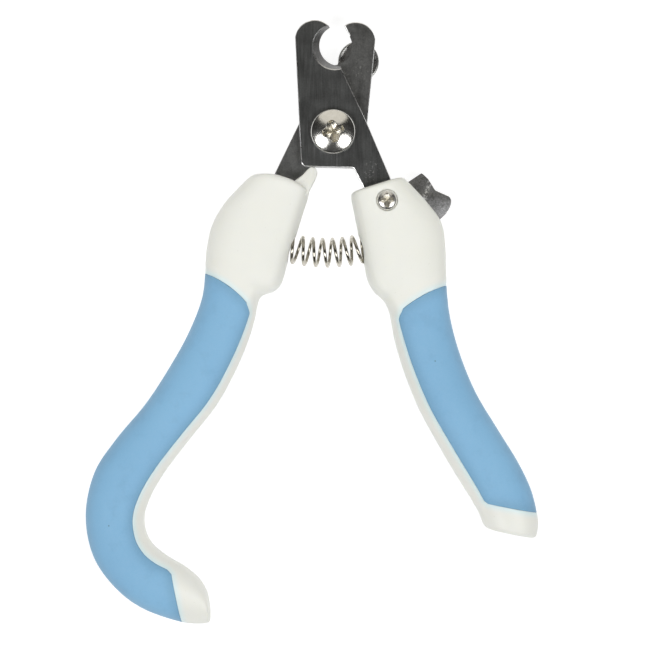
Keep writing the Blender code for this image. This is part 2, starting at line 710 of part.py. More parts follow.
def spring_pocket(name, end, collection):
    """Cylinder along the spring's end that cuts its seat into a housing; end 0 is the left one."""
    inwards = 1 if end == 0 else -1
    y, slope = spring_axis(SPRING_ENDS[end])
    along = Vector((1.0, slope, 0.0)).normalized() * inwards
    side = Vector((-along.y, along.x, 0.0))
    floor = Vector((SPRING_ENDS[end], y, SEAM_Z)) - along * SPRING_POCKET_SLACK
    rings = []
    for distance in (0.0, SPRING_POCKET_DEPTH):
        middle = floor + along * distance
        rings.append([middle + side * a + Vector((0.0, 0.0, b))
                      for a, b in circle((0.0, 0.0), SPRING_POCKET_RADIUS, 24)])
    return make_cutter(loft(name, rings, 24, collection))


def lock_pocket_outline():
    """Space in the left housing for the hook's tooth when the trimmer is closed and locked."""
    turn = Matrix.Rotation(-CLOSED_ANGLE, 2)
    hub = tuple(turn @ Vector(LOCK_AXIS))
    first, last = LOCK_POCKET_ANGLES
    outer = arc(hub, HOOK_OUTER_RADIUS + LOCK_POCKET_CLEARANCE, first, last, 8)
    inner = arc(hub, HOOK_INNER_RADIUS - LOCK_POCKET_CLEARANCE, last, first, 8)
    return outer + inner


def build_left_housing(parts, cutters):
    """Left half shells, their pockets, the stop nub and the left grip."""
    handle = Handle(LEFT_ROWS, LEFT_GRIP_LAST_ROW, LEFT_RAIL)
    front = half_shell("left_front_shell", handle, True, parts)
    back = half_shell("left_back_shell", handle, False, parts)
    grip_cutter = make_cutter(grip_skin("left_grip_cutter", handle, cutters, GRIP_CLEARANCE))
    tang = grown(mirrored(tang_outline()), PLATE_CLEARANCE)
    tang_range = (REAR_BLADE_Z[0] - POCKET_SLACK, SEAM_Z)
    tang_cutter = make_cutter(flat_plate("left_tang_cutter", [tang], tang_range, cutters))
    pocket = spring_pocket("left_spring_cutter", 0, cutters)
    lock = make_cutter(flat_plate("left_lock_cutter", [lock_pocket_outline()], LOCK_SLOT_Z, cutters))
    nub_outline = [(-11.6, -15.2), (-11.0, -13.7), (-8.0, -11.5), (-6.7, -9.95), (-6.0, -9.5),
                   (-5.3, -9.4), (-4.6, -9.75), (-4.1, -11.0), (-4.8, -12.9), (-7.0, -17.2)]
    nub = make_cutter(flat_plate("stop_nub_join", [list(reversed(nub_outline))], NUB_Z, cutters))
    apply_boolean(front, nub, "UNION")
    for shell in (front, back):
        apply_boolean(shell, grip_cutter)
        apply_boolean(shell, pocket)
        for place in LEFT_DOWELS.values():
            apply_boolean(shell, dowel_cutter(shell.name + "_dowel", place, cutters))
    apply_boolean(back, tang_cutter)
    apply_boolean(back, lock)
    finish_part(front, WHITE_PLASTIC)
    finish_part(back, WHITE_PLASTIC)
    finish_part(grip_skin("left_grip", handle, parts), BLUE_RUBBER)


def dowel_cutter(name, place, collection):
    """Blind hole for a dowel pin."""
    outline = circle(place, DOWEL_HOLE_RADIUS, 16)
    z_range = (DOWEL_Z[0] - POCKET_SLACK, DOWEL_Z[1] + POCKET_SLACK)
    return make_cutter(flat_plate(name, [outline], z_range, collection))


def build_right_housing(parts, cutters, right_axis):
    """Right half shells, their pockets, the lever's slot and the right grip."""
    handle = Handle(RIGHT_ROWS, RIGHT_GRIP_LAST_ROW, RIGHT_RAIL)
    front = half_shell("right_front_shell", handle, True, parts)
    back = half_shell("right_back_shell", handle, False, parts)
    grip_cutter = make_cutter(grip_skin("right_grip_cutter", handle, cutters, GRIP_CLEARANCE))
    tang = grown(tang_outline(), PLATE_CLEARANCE)
    tang_range = (SEAM_Z, FRONT_BLADE_Z[1] + POCKET_SLACK)
    tang_cutter = make_cutter(flat_plate("right_tang_cutter", [tang], tang_range, cutters))
    pocket = spring_pocket("right_spring_cutter", 1, cutters)
    slot_outline = [(3.0, -2.0), (3.0, -18.2), (10.6, -21.2), (14.3, -22.5), (22.2, -22.6),
                    (28.2, -24.2), (36.0, -25.9), (36.0, -2.0)]
    slot = make_cutter(flat_plate("lever_slot_cutter", [slot_outline], LOCK_SLOT_Z, cutters))
    hole = make_cutter(flat_plate("lock_hole_cutter", [circle(LOCK_AXIS, LOCK_HOLE_RADIUS, 24)],
                                  (BELOW, ABOVE), cutters))
    seat = make_cutter(flat_plate("lock_seat_cutter", [circle(LOCK_AXIS, LOCK_SEAT_RADIUS, 32)],
                                  (LOCK_SEAT_Z, ABOVE), cutters))
    nut_space = hexagon(LOCK_AXIS, LOCK_NUT_FLATS + 0.5)
    nut_cutter = make_cutter(flat_plate("lock_nut_cutter", [nut_space], (BELOW, LOCK_NUT_POCKET_TOP),
                                        cutters))
    for shell in (front, back):
        apply_boolean(shell, grip_cutter)
        apply_boolean(shell, pocket)
        apply_boolean(shell, hole)
        for place in RIGHT_DOWELS.values():
            apply_boolean(shell, dowel_cutter(shell.name + "_dowel", place, cutters))
    apply_boolean(front, tang_cutter)
    apply_boolean(front, seat)
    apply_boolean(back, slot)
    apply_boolean(back, nut_cutter)
    finish_part(front, WHITE_PLASTIC, right_axis)
    finish_part(back, WHITE_PLASTIC, right_axis)
    finish_part(grip_skin("right_grip", handle, parts), BLUE_RUBBER, right_axis)


def main():
    """Build the trimmer."""
    clear_scene()
    parts = new_collection("pet_nail_trimmer")
    cutters = new_collection("cutters")
    right_axis = bpy.data.objects.new("right_side_axis", None)
    parts.objects.link(right_axis)
    build_left_housing(parts, cutters)
    build_right_housing(parts, cutters, right_axis)
    build_blades(parts, cutters, right_axis)
    build_pivot_stack(parts, cutters)
    build_guard(parts, cutters)
    build_lock(parts, right_axis)
    build_lock_screw(parts, cutters, right_axis)
    build_dowels(LEFT_DOWELS, parts)
    build_dowels(RIGHT_DOWELS, parts, right_axis)
    build_spring(parts)


main()
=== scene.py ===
"""Looks of the pet nail trimmer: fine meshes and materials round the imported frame.

Outlines are in millimetres, as the trimmer's design gives them, with the pivot at the origin.
"""
from math import acos, asin, atan2, copysign, cos, exp, pi, radians, sin, sqrt, tan

import bmesh
import bpy
from mathutils import Matrix, Vector
from mathutils.geometry import tessellate_polygon
from mathutils.kdtree import KDTree


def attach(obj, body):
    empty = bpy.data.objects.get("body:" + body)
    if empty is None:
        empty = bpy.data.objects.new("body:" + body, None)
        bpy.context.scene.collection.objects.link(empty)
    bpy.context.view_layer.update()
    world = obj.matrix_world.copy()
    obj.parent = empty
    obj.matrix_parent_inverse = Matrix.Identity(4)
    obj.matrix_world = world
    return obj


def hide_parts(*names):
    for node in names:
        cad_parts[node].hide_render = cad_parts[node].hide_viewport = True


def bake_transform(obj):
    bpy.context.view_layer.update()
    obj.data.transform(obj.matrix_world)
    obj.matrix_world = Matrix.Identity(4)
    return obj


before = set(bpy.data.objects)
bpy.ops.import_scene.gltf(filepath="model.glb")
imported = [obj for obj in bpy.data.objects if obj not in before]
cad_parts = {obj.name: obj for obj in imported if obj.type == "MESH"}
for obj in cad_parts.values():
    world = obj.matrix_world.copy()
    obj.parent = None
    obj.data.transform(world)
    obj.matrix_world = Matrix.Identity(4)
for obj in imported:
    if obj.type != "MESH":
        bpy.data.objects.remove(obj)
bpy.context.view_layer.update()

MM = 0.001
ROUND_STEPS = 96
HOLE_STEPS = 48

# Handles, as in the design.
SEAM_Z = 7.0
SEAM_GAP = 0.2
SEAM_EASE = 0.22
HALF_THICKNESS = 7.3
TIP_HALF_THICKNESS = 6.4
HOUSING_POWER = 3.8
GRIP_POWER = 2.2
END_ROUNDING = 1.2
END_ROUNDING_ROWS = 0.35
MOULDING_DIMPLES = ((-14.7, -25.2, 14.2), (14.9, -27.6, 14.2))
NEAR_GRIP = "near_grip"
PLASTIC_TINT_REACH = 1.1
# Reach in millimetres of the painted shade on the rubber beside the grip's edge.
RUBBER_SHADE_REACH = 2.0

# Blades and pivot.
GUARD_Z = (2.85, 3.75)
REAR_BLADE_Z = (4.4, 6.9)
FRONT_BLADE_Z = (7.1, 9.6)
PIVOT_HEAD_Z = (9.7, 13.1)
PIVOT_HEAD_RADIUS = 6.0
PIVOT_SHANK_RADIUS = 2.9
PIVOT_HOLE_RADIUS = 3.1
PIVOT_NUT_Z = (0.1, 2.75)
PIVOT_NUT_FLATS = 10.0
NUT_FACE_SHARE = 0.97
NUT_CHAMFER_SLOPE = 0.6
JAW_AXIS_LEAN = radians(1.4)
FRONT_NOTCH = ((1.7, 23.2, 5.35), (0.55, 22.6, 6.0))
REAR_NOTCH = ((0.0, 23.1, 5.1), (0.6, 22.4, 5.9))
FRONT_TIP = (40.0, [])
REAR_TIP = (53.5, [(-3.13, 25.98)])
BLADE_EDGE = 0.24
PIN_HOLE_RADIUS = 1.7
PIN_HOLE_Z = (2.4, 11.6)
LEFT_PINS = ((-18.2, -19.5), (-22.6, -29.0))
RIGHT_PINS = ((19.4, -29.0),)
TANG_END = [(16.7, -32.4), (17.6, -33.6), (22.4, -33.4), (23.5, -32.0)]

# Safety guard.
GUARD_HEAD = (6.85, 19.3)
GUARD_HEAD_RADIUS = 5.5
GUARD_DISH_DEPTH = 1.5
GUARD_BOSS_RADIUS = 5.9
GUARD_ARM_HALF_WIDTH = 2.6
GUARD_ARM_OVERLAP = 0.2
GUARD_ARM_END = radians(20)

# Lock lever and its screw.
LOCK_AXIS = (14.27, -18.4)
LOCK_LEVER_Z = (2.8, 4.1)
LOCK_SLOT_Z = (2.6, 4.3)
LOCK_NUT_Z = (0.1, 1.9)
LOCK_NUT_FLATS = 5.5
LOCK_NUT_SLACK = 0.5
LOCK_NUT_POCKET_TOP = 2.0
LOCK_SEAT_Z = 13.5
LOCK_SEAT_RADIUS = 2.9
LOCK_WASHER_Z = (13.55, 13.85)
LOCK_WASHER_RADIUS = 2.6
LOCK_HEAD_Z = (13.9, 15.6)
LOCK_HEAD_RADIUS = 2.7
LOCK_SHANK_RADIUS = 1.45
CROSS_CORNER = 1.65
LOCK_HOLE_RADIUS = 1.7
HOOK_ARM_ANGLE = radians(115)
HOOK_TOOTH_ANGLE = radians(136)
HOOK_INNER_RADIUS = 14.9
HOOK_OUTER_RADIUS = 16.7
HOOK_HALF_WIDTH = 1.5
HUB_RADIUS = 3.6
LEVER_BEND = (25.2, -15.4, 4.0)
LEVER_BEND_DEGREES = 19.0
CLOSED_ANGLE = radians(26)
NUB_Z = (7.15, 10.9)
TOOTH_CLEARANCE = 0.5
PLATE_CLEARANCE = 0.3
SLOT_HEIGHT_CLEARANCE = 0.2
BELOW = -1.0
ABOVE = 17.0

# Return spring.
SPRING_ENDS = (-14.0, 10.4)
SPRING_END_Y = -30.2
SPRING_BOW = 1.9
SPRING_RADIUS = 3.65
SPRING_WIRE = 0.85
SPRING_PITCH = 2.87
SPRING_CLOSED_PITCH = 0.92
SPRING_PHASE_X = -2.9
SPRING_POINTS_PER_TURN = 36
SPRING_POCKET_RADIUS = 4.45
SPRING_POCKET_SLACK = 0.4
SPRING_POCKET_LENGTH = 12.0

# Section lines of the handles: outer edge x, y, inner edge x, y, bow towards the jaws.
LEFT_ROWS = (
    (-21.2, -11.0, -6.2, -15.4, 1.3),
    (-25.2, -14.8, -6.8, -18.0, 0.5),
    (-29.4, -19.6, -7.7, -20.8, 0.0),
    (-32.4, -25.2, -9.4, -26.2, 0.0),
    (-33.5, -30.0, -11.8, -33.6, 0.3),
    (-33.8, -32.0, -13.8, -40.4, 0.7),
    (-33.9, -33.9, -15.6, -42.4, 1.0),
    (-34.0, -35.2, -19.2, -43.9, 1.3),
    (-34.0, -36.4, -20.3, -46.9, 1.5),
    (-34.1, -37.6, -20.6, -48.6, 1.5),
    (-34.9, -44.0, -21.9, -53.6, 0.8),
    (-38.4, -53.2, -25.2, -62.0, 0.0),
    (-43.7, -62.8, -30.8, -72.4, 0.0),
    (-50.0, -72.4, -38.3, -82.0, 0.0),
    (-58.0, -82.0, -45.5, -91.6, 0.0),
    (-63.6, -90.6, -49.0, -98.0, 0.0),
    (-66.0, -102.0, -50.3, -102.8, 0.0),
    (-64.0, -113.0, -49.6, -107.2, 0.0),
    (-58.4, -121.2, -48.2, -109.6, 0.0),
    (-51.2, -126.8, -46.6, -111.2, 0.0),
    (-40.2, -130.7, -43.6, -113.4, 0.0),
    (-36.6, -131.1, -38.9, -116.2, 0.0),
    (-34.2, -131.0, -35.4, -119.4, 0.0),
    (-32.6, -130.6, -33.4, -122.8, 0.0),
)
RIGHT_ROWS = (
    (18.6, -11.8, 4.9, -16.1, 0.0),
    (21.5, -14.8, 4.9, -18.0, 0.0),
    (25.4, -19.1, 5.5, -21.0, 0.0),
    (29.0, -24.4, 6.5, -26.0, 0.0),
    (30.0, -31.0, 8.1, -34.0, 0.2),
    (30.1, -35.0, 9.4, -40.0, 0.5),
    (30.2, -36.8, 11.2, -42.9, 0.8),
    (30.2, -38.2, 13.4, -44.9, 1.0),
    (30.3, -39.6, 14.9, -47.8, 1.1),
    (30.3, -40.8, 15.4, -50.0, 1.2),
    (31.1, -48.5, 16.3, -55.0, 0.5),
    (33.5, -58.0, 18.6, -63.0, 0.0),
    (38.0, -69.2, 22.8, -73.6, 0.0),
    (43.7, -78.8, 28.2, -83.6, 0.0),
    (49.6, -88.4, 32.9, -91.6, 0.0),
    (52.9, -95.5, 35.3, -95.4, 0.0),
    (54.4, -101.4, 36.9, -98.0, 0.0),
    (54.8, -104.4, 38.9, -101.6, 0.0),
    (54.3, -108.4, 40.5, -105.6, 0.0),
)
GRIP_FIRST_ROW = 9
LEFT_GRIP_LAST_ROW = 20
RIGHT_GRIP_LAST_ROW = 16
LEFT_RAIL = (1.8, 3.2)
RIGHT_RAIL = (2.1, 3.4)

# Edge of the soft grip: how far below the skin each material lies, by distance inside the edge.
FIRST_ROW_SPACING = 5.5
LAST_ROW_SPACING = 8.0
SKIN_PER_RADIAN = 7.0
SHELL_DIP = ((-0.3, 0.0), (-0.08, 0.02), (0.0, 0.08), (0.03, 1.2))
GRIP_DIP = ((0.03, 0.6), (0.06, 0.16), (0.12, 0.04), (0.3, 0.0))
GRIP_CORNER = 2.4
GRIP_BACK = 1.15

# Angles in degrees past which an edge between two faces is drawn sharp.
SHARP_ANGLE = 32.0
SHARP_SOFT_ANGLE = 60.0
SHARP_SCREW_ANGLE = 28.0
SHARP_BLADE_ANGLE = 14.0
SHARP_HIDDEN_ANGLE = 35.0

# Studio.
FLOOR_SIZE = 4.0
FLOOR_DROP = 0.0002
STUDIO_AIM = Vector((-0.002, -0.045, 0.0))
CAMERA_PLACE = (-0.00213, -0.0514)
CAMERA_SUBJECT_HEIGHT = 0.008
VIEW_WIDTH = 0.17335


# ---------------------------------------------------------------- outlines and curves

def arc(centre, radius, start, end, steps):
    """Points along an arc, both ends included; angles in radians."""
    points = []
    for k in range(steps + 1):
        angle = start + (end - start) * k / steps
        points.append((centre[0] + radius * cos(angle),
                       centre[1] + radius * sin(angle)))
    return points


def circle(centre, radius, steps=ROUND_STEPS):
    """Points of a whole circle."""
    return arc(centre, radius, 0.0, 2 * pi * (steps - 1) / steps, steps - 1)


def grown(outline, distance):
    """Outline moved outwards by a distance; the outline runs anticlockwise."""
    moved = []
    for k, point in enumerate(outline):
        here = Vector(point)
        first = (here - Vector(outline[k - 1])).normalized()
        second = (Vector(outline[(k + 1) % len(outline)]) - here).normalized()
        normal = Vector((first.y + second.y, -first.x - second.x))
        moved.append(tuple(here + normal * (distance / max(0.5, 1.0 + first.dot(second)))))
    return moved


def rounded(outline, radius, steps=4):
    """Outline with each corner eased over up to that distance along its two sides."""
    eased = []
    for k, point in enumerate(outline):
        here = Vector(point)
        before = Vector(outline[k - 1]) - here
        after = Vector(outline[(k + 1) % len(outline)]) - here
        start = here + before.normalized() * min(radius, before.length * 0.45)
        end = here + after.normalized() * min(radius, after.length * 0.45)
        for j in range(steps + 1):
            share = j / steps
            eased.append(tuple(start.lerp(here, share).lerp(here.lerp(end, share), share)))
    return eased


def signed_power(value, power):
    """Power of a number that keeps its sign."""
    return copysign(abs(value) ** power, value)


def smooth_step(value):
    """Ease from 0 to 1 as the value goes from 0 to 1."""
    value = min(max(value, 0.0), 1.0)
    return value * value * (3.0 - 2.0 * value)


def table_value(table, x):
    """Value at x of straight runs through the table's points."""
    if x <= table[0][0]:
        return table[0][1]
    for (x0, y0), (x1, y1) in zip(table, table[1:]):
        if x <= x1:
            return y0 + (y1 - y0) * (x - x0) / (x1 - x0)
    return table[-1][1]


def curve_point(points, t):
    """Point at t on the centripetal Catmull-Rom curve through the points."""
    last = len(points) - 1
    i = min(int(t), last - 1)
    p1 = points[i]
    p2 = points[i + 1]
    p0 = points[i - 1] if i > 0 else 2 * p1 - p2
    p3 = points[i + 2] if i + 2 <= last else 2 * p2 - p1
    t1 = (p1 - p0).length ** 0.5
    t2 = t1 + (p2 - p1).length ** 0.5
    t3 = t2 + (p3 - p2).length ** 0.5
    s = t1 + (t - i) * (t2 - t1)
    a1 = p0.lerp(p1, s / t1)
    a2 = p1.lerp(p2, (s - t1) / (t2 - t1))
    a3 = p2.lerp(p3, (s - t2) / (t3 - t2))
    b1 = a1.lerp(a2, s / t2)
    b2 = a2.lerp(a3, (s - t1) / (t3 - t1))
    return b1.lerp(b2, (s - t1) / (t2 - t1))


# ---------------------------------------------------------------- mesh tools

def add_object(name, data):
    """Put a mesh, curve, light or camera in the scene as an object of that name."""
    obj = bpy.data.objects.new(name, data)
    bpy.context.scene.collection.objects.link(obj)
    return obj


def mesh_object(name, bm):
    """Object from a bmesh, with its faces turned outwards."""
    bmesh.ops.recalc_face_normals(bm, faces=bm.faces)
    mesh = bpy.data.meshes.new(name)
    bm.to_mesh(mesh)
    bm.free()
    return add_object(name, mesh)


def loft(name, rings, pair_sum=None):
    """Closed skin over rings of points; end caps are strips between paired points, or one face."""
    bm = bmesh.new()
    size = len(rings[0])
    rows = [[bm.verts.new(point * MM) for point in ring] for ring in rings]
    for low, high in zip(rows, rows[1:]):
        for k in range(size):
            n = (k + 1) % size
            bm.faces.new((low[k], low[n], high[n], high[k]))
    for row in (rows[0], rows[-1]):
        if pair_sum is None:
            bm.faces.new(row)
            continue
        for k in range(size // 2):
            corners = [k, (k + 1) % size, (pair_sum - k - 1) % size, (pair_sum - k) % size]
            unique = list(dict.fromkeys(corners))
            if len(unique) > 2:
                bm.faces.new([row[corner] for corner in unique])
    return mesh_object(name, bm)


def plate(name, outline, holes, z_range, edge=0.0):
    """Flat plate with eased edges, between two heights, with holes right through."""
    bottom, top = z_range
    levels = [(bottom, 0.0), (top, 0.0)]
    if edge:
        levels = [(bottom, -edge), (bottom + 0.3 * edge, -0.3 * edge), (bottom + edge, 0.0),
                  (top - edge, 0.0), (top - 0.3 * edge, -0.3 * edge), (top, -edge)]
    bm = bmesh.new()
    walls = []
    for k, loop in enumerate([outline] + holes):
        sign = 1 if k == 0 else -1
        rows = []
        for z, offset in levels:
            points = grown(loop, offset * sign)
            rows.append([bm.verts.new((x * MM, y * MM, z * MM)) for x, y in points])
        for low, high in zip(rows, rows[1:]):
            for j in range(len(loop)):
                n = (j + 1) % len(loop)
                bm.faces.new((low[j], low[n], high[n], high[j]))
        walls.append(rows)
    for level in (0, -1):
        loops = [rows[level] for rows in walls]
        flat = [vertex for loop in loops for vertex in loop]
        for corners in tessellate_polygon([[vertex.co for vertex in loop] for loop in loops]):
            bm.faces.new([flat[corner] for corner in corners])
    return mesh_object(name, bm)


def turned(name, profile, centre=(0.0, 0.0)):
    """Solid of revolution; the profile of (radius, height) runs from the top axis to the bottom."""
    mesh = bpy.data.meshes.new(name)
    points = [(radius * MM, 0.0, height * MM) for radius, height in profile]
    mesh.from_pydata(points, [(k, k + 1) for k in range(len(points) - 1)], [])
    obj = add_object(name, mesh)
    screw = obj.modifiers.new("turn", "SCREW")
    screw.steps = screw.render_steps = ROUND_STEPS
    screw.use_merge_vertices = True
    screw.merge_threshold = 0.000001
    applied(obj)
    obj.data.transform(Matrix.Translation((centre[0] * MM, centre[1] * MM, 0.0)))
    return obj


def evaluated_mesh(obj):
    """New mesh of an object as it stands, with its modifiers or its curve's bevel."""
    bpy.context.view_layer.update()
    evaluated = obj.evaluated_get(bpy.context.evaluated_depsgraph_get())
    return bpy.data.meshes.new_from_object(evaluated)


def applied(obj):
    """Turn an object's modifiers into its mesh."""
    mesh = evaluated_mesh(obj)
    obj.modifiers.clear()
    obj.data = mesh


def combine(target, cutters, operation="DIFFERENCE", solver="EXACT"):
    """Cut a mesh with each cutter, or join them, and remove the cutters."""
    for cutter in cutters:
        modifier = target.modifiers.new(cutter.name, "BOOLEAN")
        modifier.operation = operation
        modifier.solver = solver
        if solver == "EXACT":
            modifier.material_mode = "TRANSFER"
        modifier.object = cutter
    applied(target)
    for cutter in cutters:
        bpy.data.objects.remove(cutter, do_unlink=True)
    return target


def shade(obj, material, angle):
    """Give a piece smooth faces with sharp edges, and its material if it comes without."""
    if material is not None:
        obj.data.materials.clear()
        obj.data.materials.append(material)
    obj.data.shade_smooth()
    obj.data.set_sharp_from_angle(angle=radians(angle))


def finish_piece(obj, material, body, slot, *nodes, angle=SHARP_ANGLE):
    """Give a piece its looks and its body, and hide the nodes it stands for."""
    shade(obj, material, angle)
    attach(obj, body)
    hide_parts(*nodes)
    return obj


# ---------------------------------------------------------------- materials

class Nodes:
    """Shader nodes of a material or of the world, on its own coordinates."""

    def __init__(self, owner, coordinates="Object"):
        owner.use_nodes = True
        self.owner = owner
        self.tree = owner.node_tree
        self.at = self.add("TexCoord").outputs[coordinates]

    def put(self, socket, value):
        """Link another node's output to a socket, or set a constant on it."""
        if isinstance(value, bpy.types.NodeSocket):
            self.tree.links.new(value, socket)
        else:
            socket.default_value = value

    def add(self, kind, inputs=(), **settings):
        """Add a shader node; inputs maps each socket to what it gets."""
        item = self.tree.nodes.new("ShaderNode" + kind)
        for key, value in settings.items():
            setattr(item, key, value)
        for key, value in dict(inputs).items():
            self.put(item.inputs[key], value)
        return item

    def noise(self, scale, detail=3.0, roughness=0.5, at=None):
        """Noise value, about 0.5 on average."""
        inputs = {"Vector": self.at if at is None else at, "Scale": scale, "Detail": detail,
                  "Roughness": roughness}
        return self.add("TexNoise", inputs).outputs["Fac"]

    def ramp(self, value, low, high, to_low=0.0, to_high=1.0):
        """Clamped straight ramp of a value."""
        inputs = {"Value": value, "From Min": low, "From Max": high,
                  "To Min": to_low, "To Max": to_high}
        return self.add("MapRange", inputs).outputs["Result"]

    def calc(self, operation, first, second=0.5):
        """One arithmetic step."""
        return self.add("Math", {0: first, 1: second}, operation=operation).outputs[0]

    def times(self, first, second):
        """Product of two values."""
        return self.calc("MULTIPLY", first, second)

    def most(self, first, second):
        """Greater of two values."""
        return self.calc("MAXIMUM", first, second)

    def axis(self, vector, index):
        """One component of a vector."""
        return self.add("SeparateXYZ", {"Vector": vector}).outputs[index]

    def facing(self, kind):
        """Upward component of one of the surface's normals."""
        return self.axis(self.add("NewGeometry").outputs[kind], 2)

    def mix(self, factor, first, second):
        """Mix of two colours."""
        colours = {6: first, 7: second}
        for key, colour in colours.items():
            if isinstance(colour, tuple):
                colours[key] = (*colour, 1.0)
        return self.add("Mix", {0: factor, **colours}, data_type="RGBA").outputs[2]

    def bump(self, height, strength, distance, normal=None):
        """Bump from a height, on top of an earlier bump."""
        inputs = {"Height": height, "Strength": strength, "Distance": distance}
        if normal is not None:
            inputs["Normal"] = normal
        return self.add("Bump", inputs).outputs["Normal"]

    def stretched(self, turn_degrees, scale):
        """Coordinates turned about Z and scaled."""
        turn = (0.0, 0.0, radians(turn_degrees))
        return self.add("Mapping", {"Vector": self.at, "Rotation": turn, "Scale": scale}).outputs[0]

    def lines(self, turn_degrees, scale, detail=3.0, roughness=0.5):
        """Noise drawn out into lines."""
        return self.noise(1.0, detail, roughness, self.stretched(turn_degrees, scale))

    def scratches(self, turn_degrees, scale, cutoff):
        """Sparse fine lines in one direction."""
        value = self.lines(turn_degrees, (scale, scale * 0.02, scale * 0.02), 2.0, 0.4)
        return self.ramp(value, cutoff, cutoff + 0.03)

    def spot(self, place, near, far):
        """1 within a distance of a place and 0 past another; millimetres."""
        ends = {0: self.at, 1: tuple(value * MM for value in place)}
        away = self.add("VectorMath", ends, operation="DISTANCE").outputs["Value"]
        return self.ramp(away, near * MM, far * MM, 1.0, 0.0)

    def near_grip(self, strength):
        """Closeness to the grip's edge, as stored on the mesh."""
        return self.times(self.add("Attribute", attribute_name=NEAR_GRIP).outputs["Fac"], strength)

    def finish(self, **sockets):
        """Put values on the Principled shader's sockets and return the material."""
        shader = self.tree.nodes["Principled BSDF"]
        for key, value in sockets.items():
            self.put(shader.inputs[key.replace("_", " ")], value)
        return self.owner

    def metal(self, colour, normal, rough):
        """Finish a bare metal."""
        return self.finish(Base_Color=colour, Roughness=rough, Normal=normal, Metallic=1.0)


def surface(name):
    """Nodes of a new material with its Principled shader."""
    return Nodes(bpy.data.materials.new(name))


def handle_plastic():
    """Satin off-white moulded plastic, a little blue beside the grip."""
    s = surface("handle_plastic")
    warm = s.ramp(s.noise(42.0, 2.0), 0.35, 0.7)
    colour = s.mix(warm, (0.905, 0.912, 0.862), (0.880, 0.888, 0.825))
    cloudy = s.ramp(s.noise(260.0, 5.0), 0.3, 0.75, 0.0, 0.35)
    colour = s.mix(cloudy, colour, (0.86, 0.87, 0.83))
    colour = s.mix(s.near_grip(0.60), colour, (0.70, 0.94, 1.0))
    dust = s.ramp(s.noise(2600.0, 1.0), 0.745, 0.78, 0.0, 0.25)
    colour = s.mix(dust, colour, (0.45, 0.43, 0.37))
    normal = s.bump(s.noise(4200.0, 2.0), 0.10, 0.00002)
    normal = s.bump(s.noise(330.0, 2.0), 0.25, 0.00004, normal)
    for place in MOULDING_DIMPLES:
        normal = s.bump(s.spot(place, 0.4, 1.5), 0.35, -0.0001, normal)
    rough = s.ramp(s.noise(700.0), 0.3, 0.7, 0.36, 0.46)
    return s.finish(Base_Color=colour, Roughness=rough, Normal=normal, IOR=1.49,
                    Subsurface_Weight=0.12, Subsurface_Radius=(1.0, 0.95, 0.75),
                    Subsurface_Scale=0.0012)


def grip_rubber():
    """Matte light-blue soft-touch skin with fine grain, faint handling marks, a few specks, and
    painted shade along its edge and on its sloping sides.
    """
    s = surface("grip_rubber")
    patches = s.ramp(s.noise(38.0), 0.35, 0.7)
    colour = s.mix(patches, (0.258, 0.522, 0.775), (0.232, 0.480, 0.728))
    # Painted shade: the rubber turns darker blue towards the grip's edge.
    colour = s.mix(s.near_grip(0.42), colour, (0.15, 0.30, 0.45))
    # Painted shade: darker where the skin's normal turns away from straight up, as on its rounded
    # sides.
    low = s.ramp(s.calc("ABSOLUTE", s.facing("Normal")), 0.25, 0.85, 0.30, 0.0)
    colour = s.mix(low, colour, (0.16, 0.33, 0.50))
    marks = s.ramp(s.noise(150.0, 5.0, 0.65), 0.52, 0.78, 0.0, 0.45)
    colour = s.mix(marks, colour, (0.18, 0.37, 0.58))
    fine = s.ramp(s.noise(1800.0, 2.0), 0.35, 0.65)
    colour = s.mix(s.times(fine, 0.12), colour, (0.34, 0.56, 0.80))
    cells = s.add("TexVoronoi", {"Vector": s.at, "Scale": 230.0})
    pick = s.add("SeparateColor", {"Color": cells.outputs["Color"]})
    dot = s.ramp(cells.outputs["Distance"], 0.035, 0.055, 1.0, 0.0)
    white = s.times(dot, s.ramp(pick.outputs[0], 0.90, 0.91))
    dark = s.times(dot, s.ramp(pick.outputs[1], 0.93, 0.94))
    colour = s.mix(s.times(dark, 0.7), colour, (0.08, 0.17, 0.26))
    colour = s.mix(s.times(white, 0.8), colour, (0.66, 0.83, 0.92))
    normal = s.bump(s.noise(5200.0), 0.30, 0.00003)
    normal = s.bump(s.noise(260.0, 2.0), 0.25, 0.00006, normal)
    rough = s.ramp(s.noise(420.0, 4.0), 0.3, 0.7, 0.56, 0.70)
    return s.finish(Base_Color=colour, Roughness=rough, Normal=normal, Specular_IOR_Level=0.35,
                    Sheen_Weight=0.12, Sheen_Roughness=0.5)


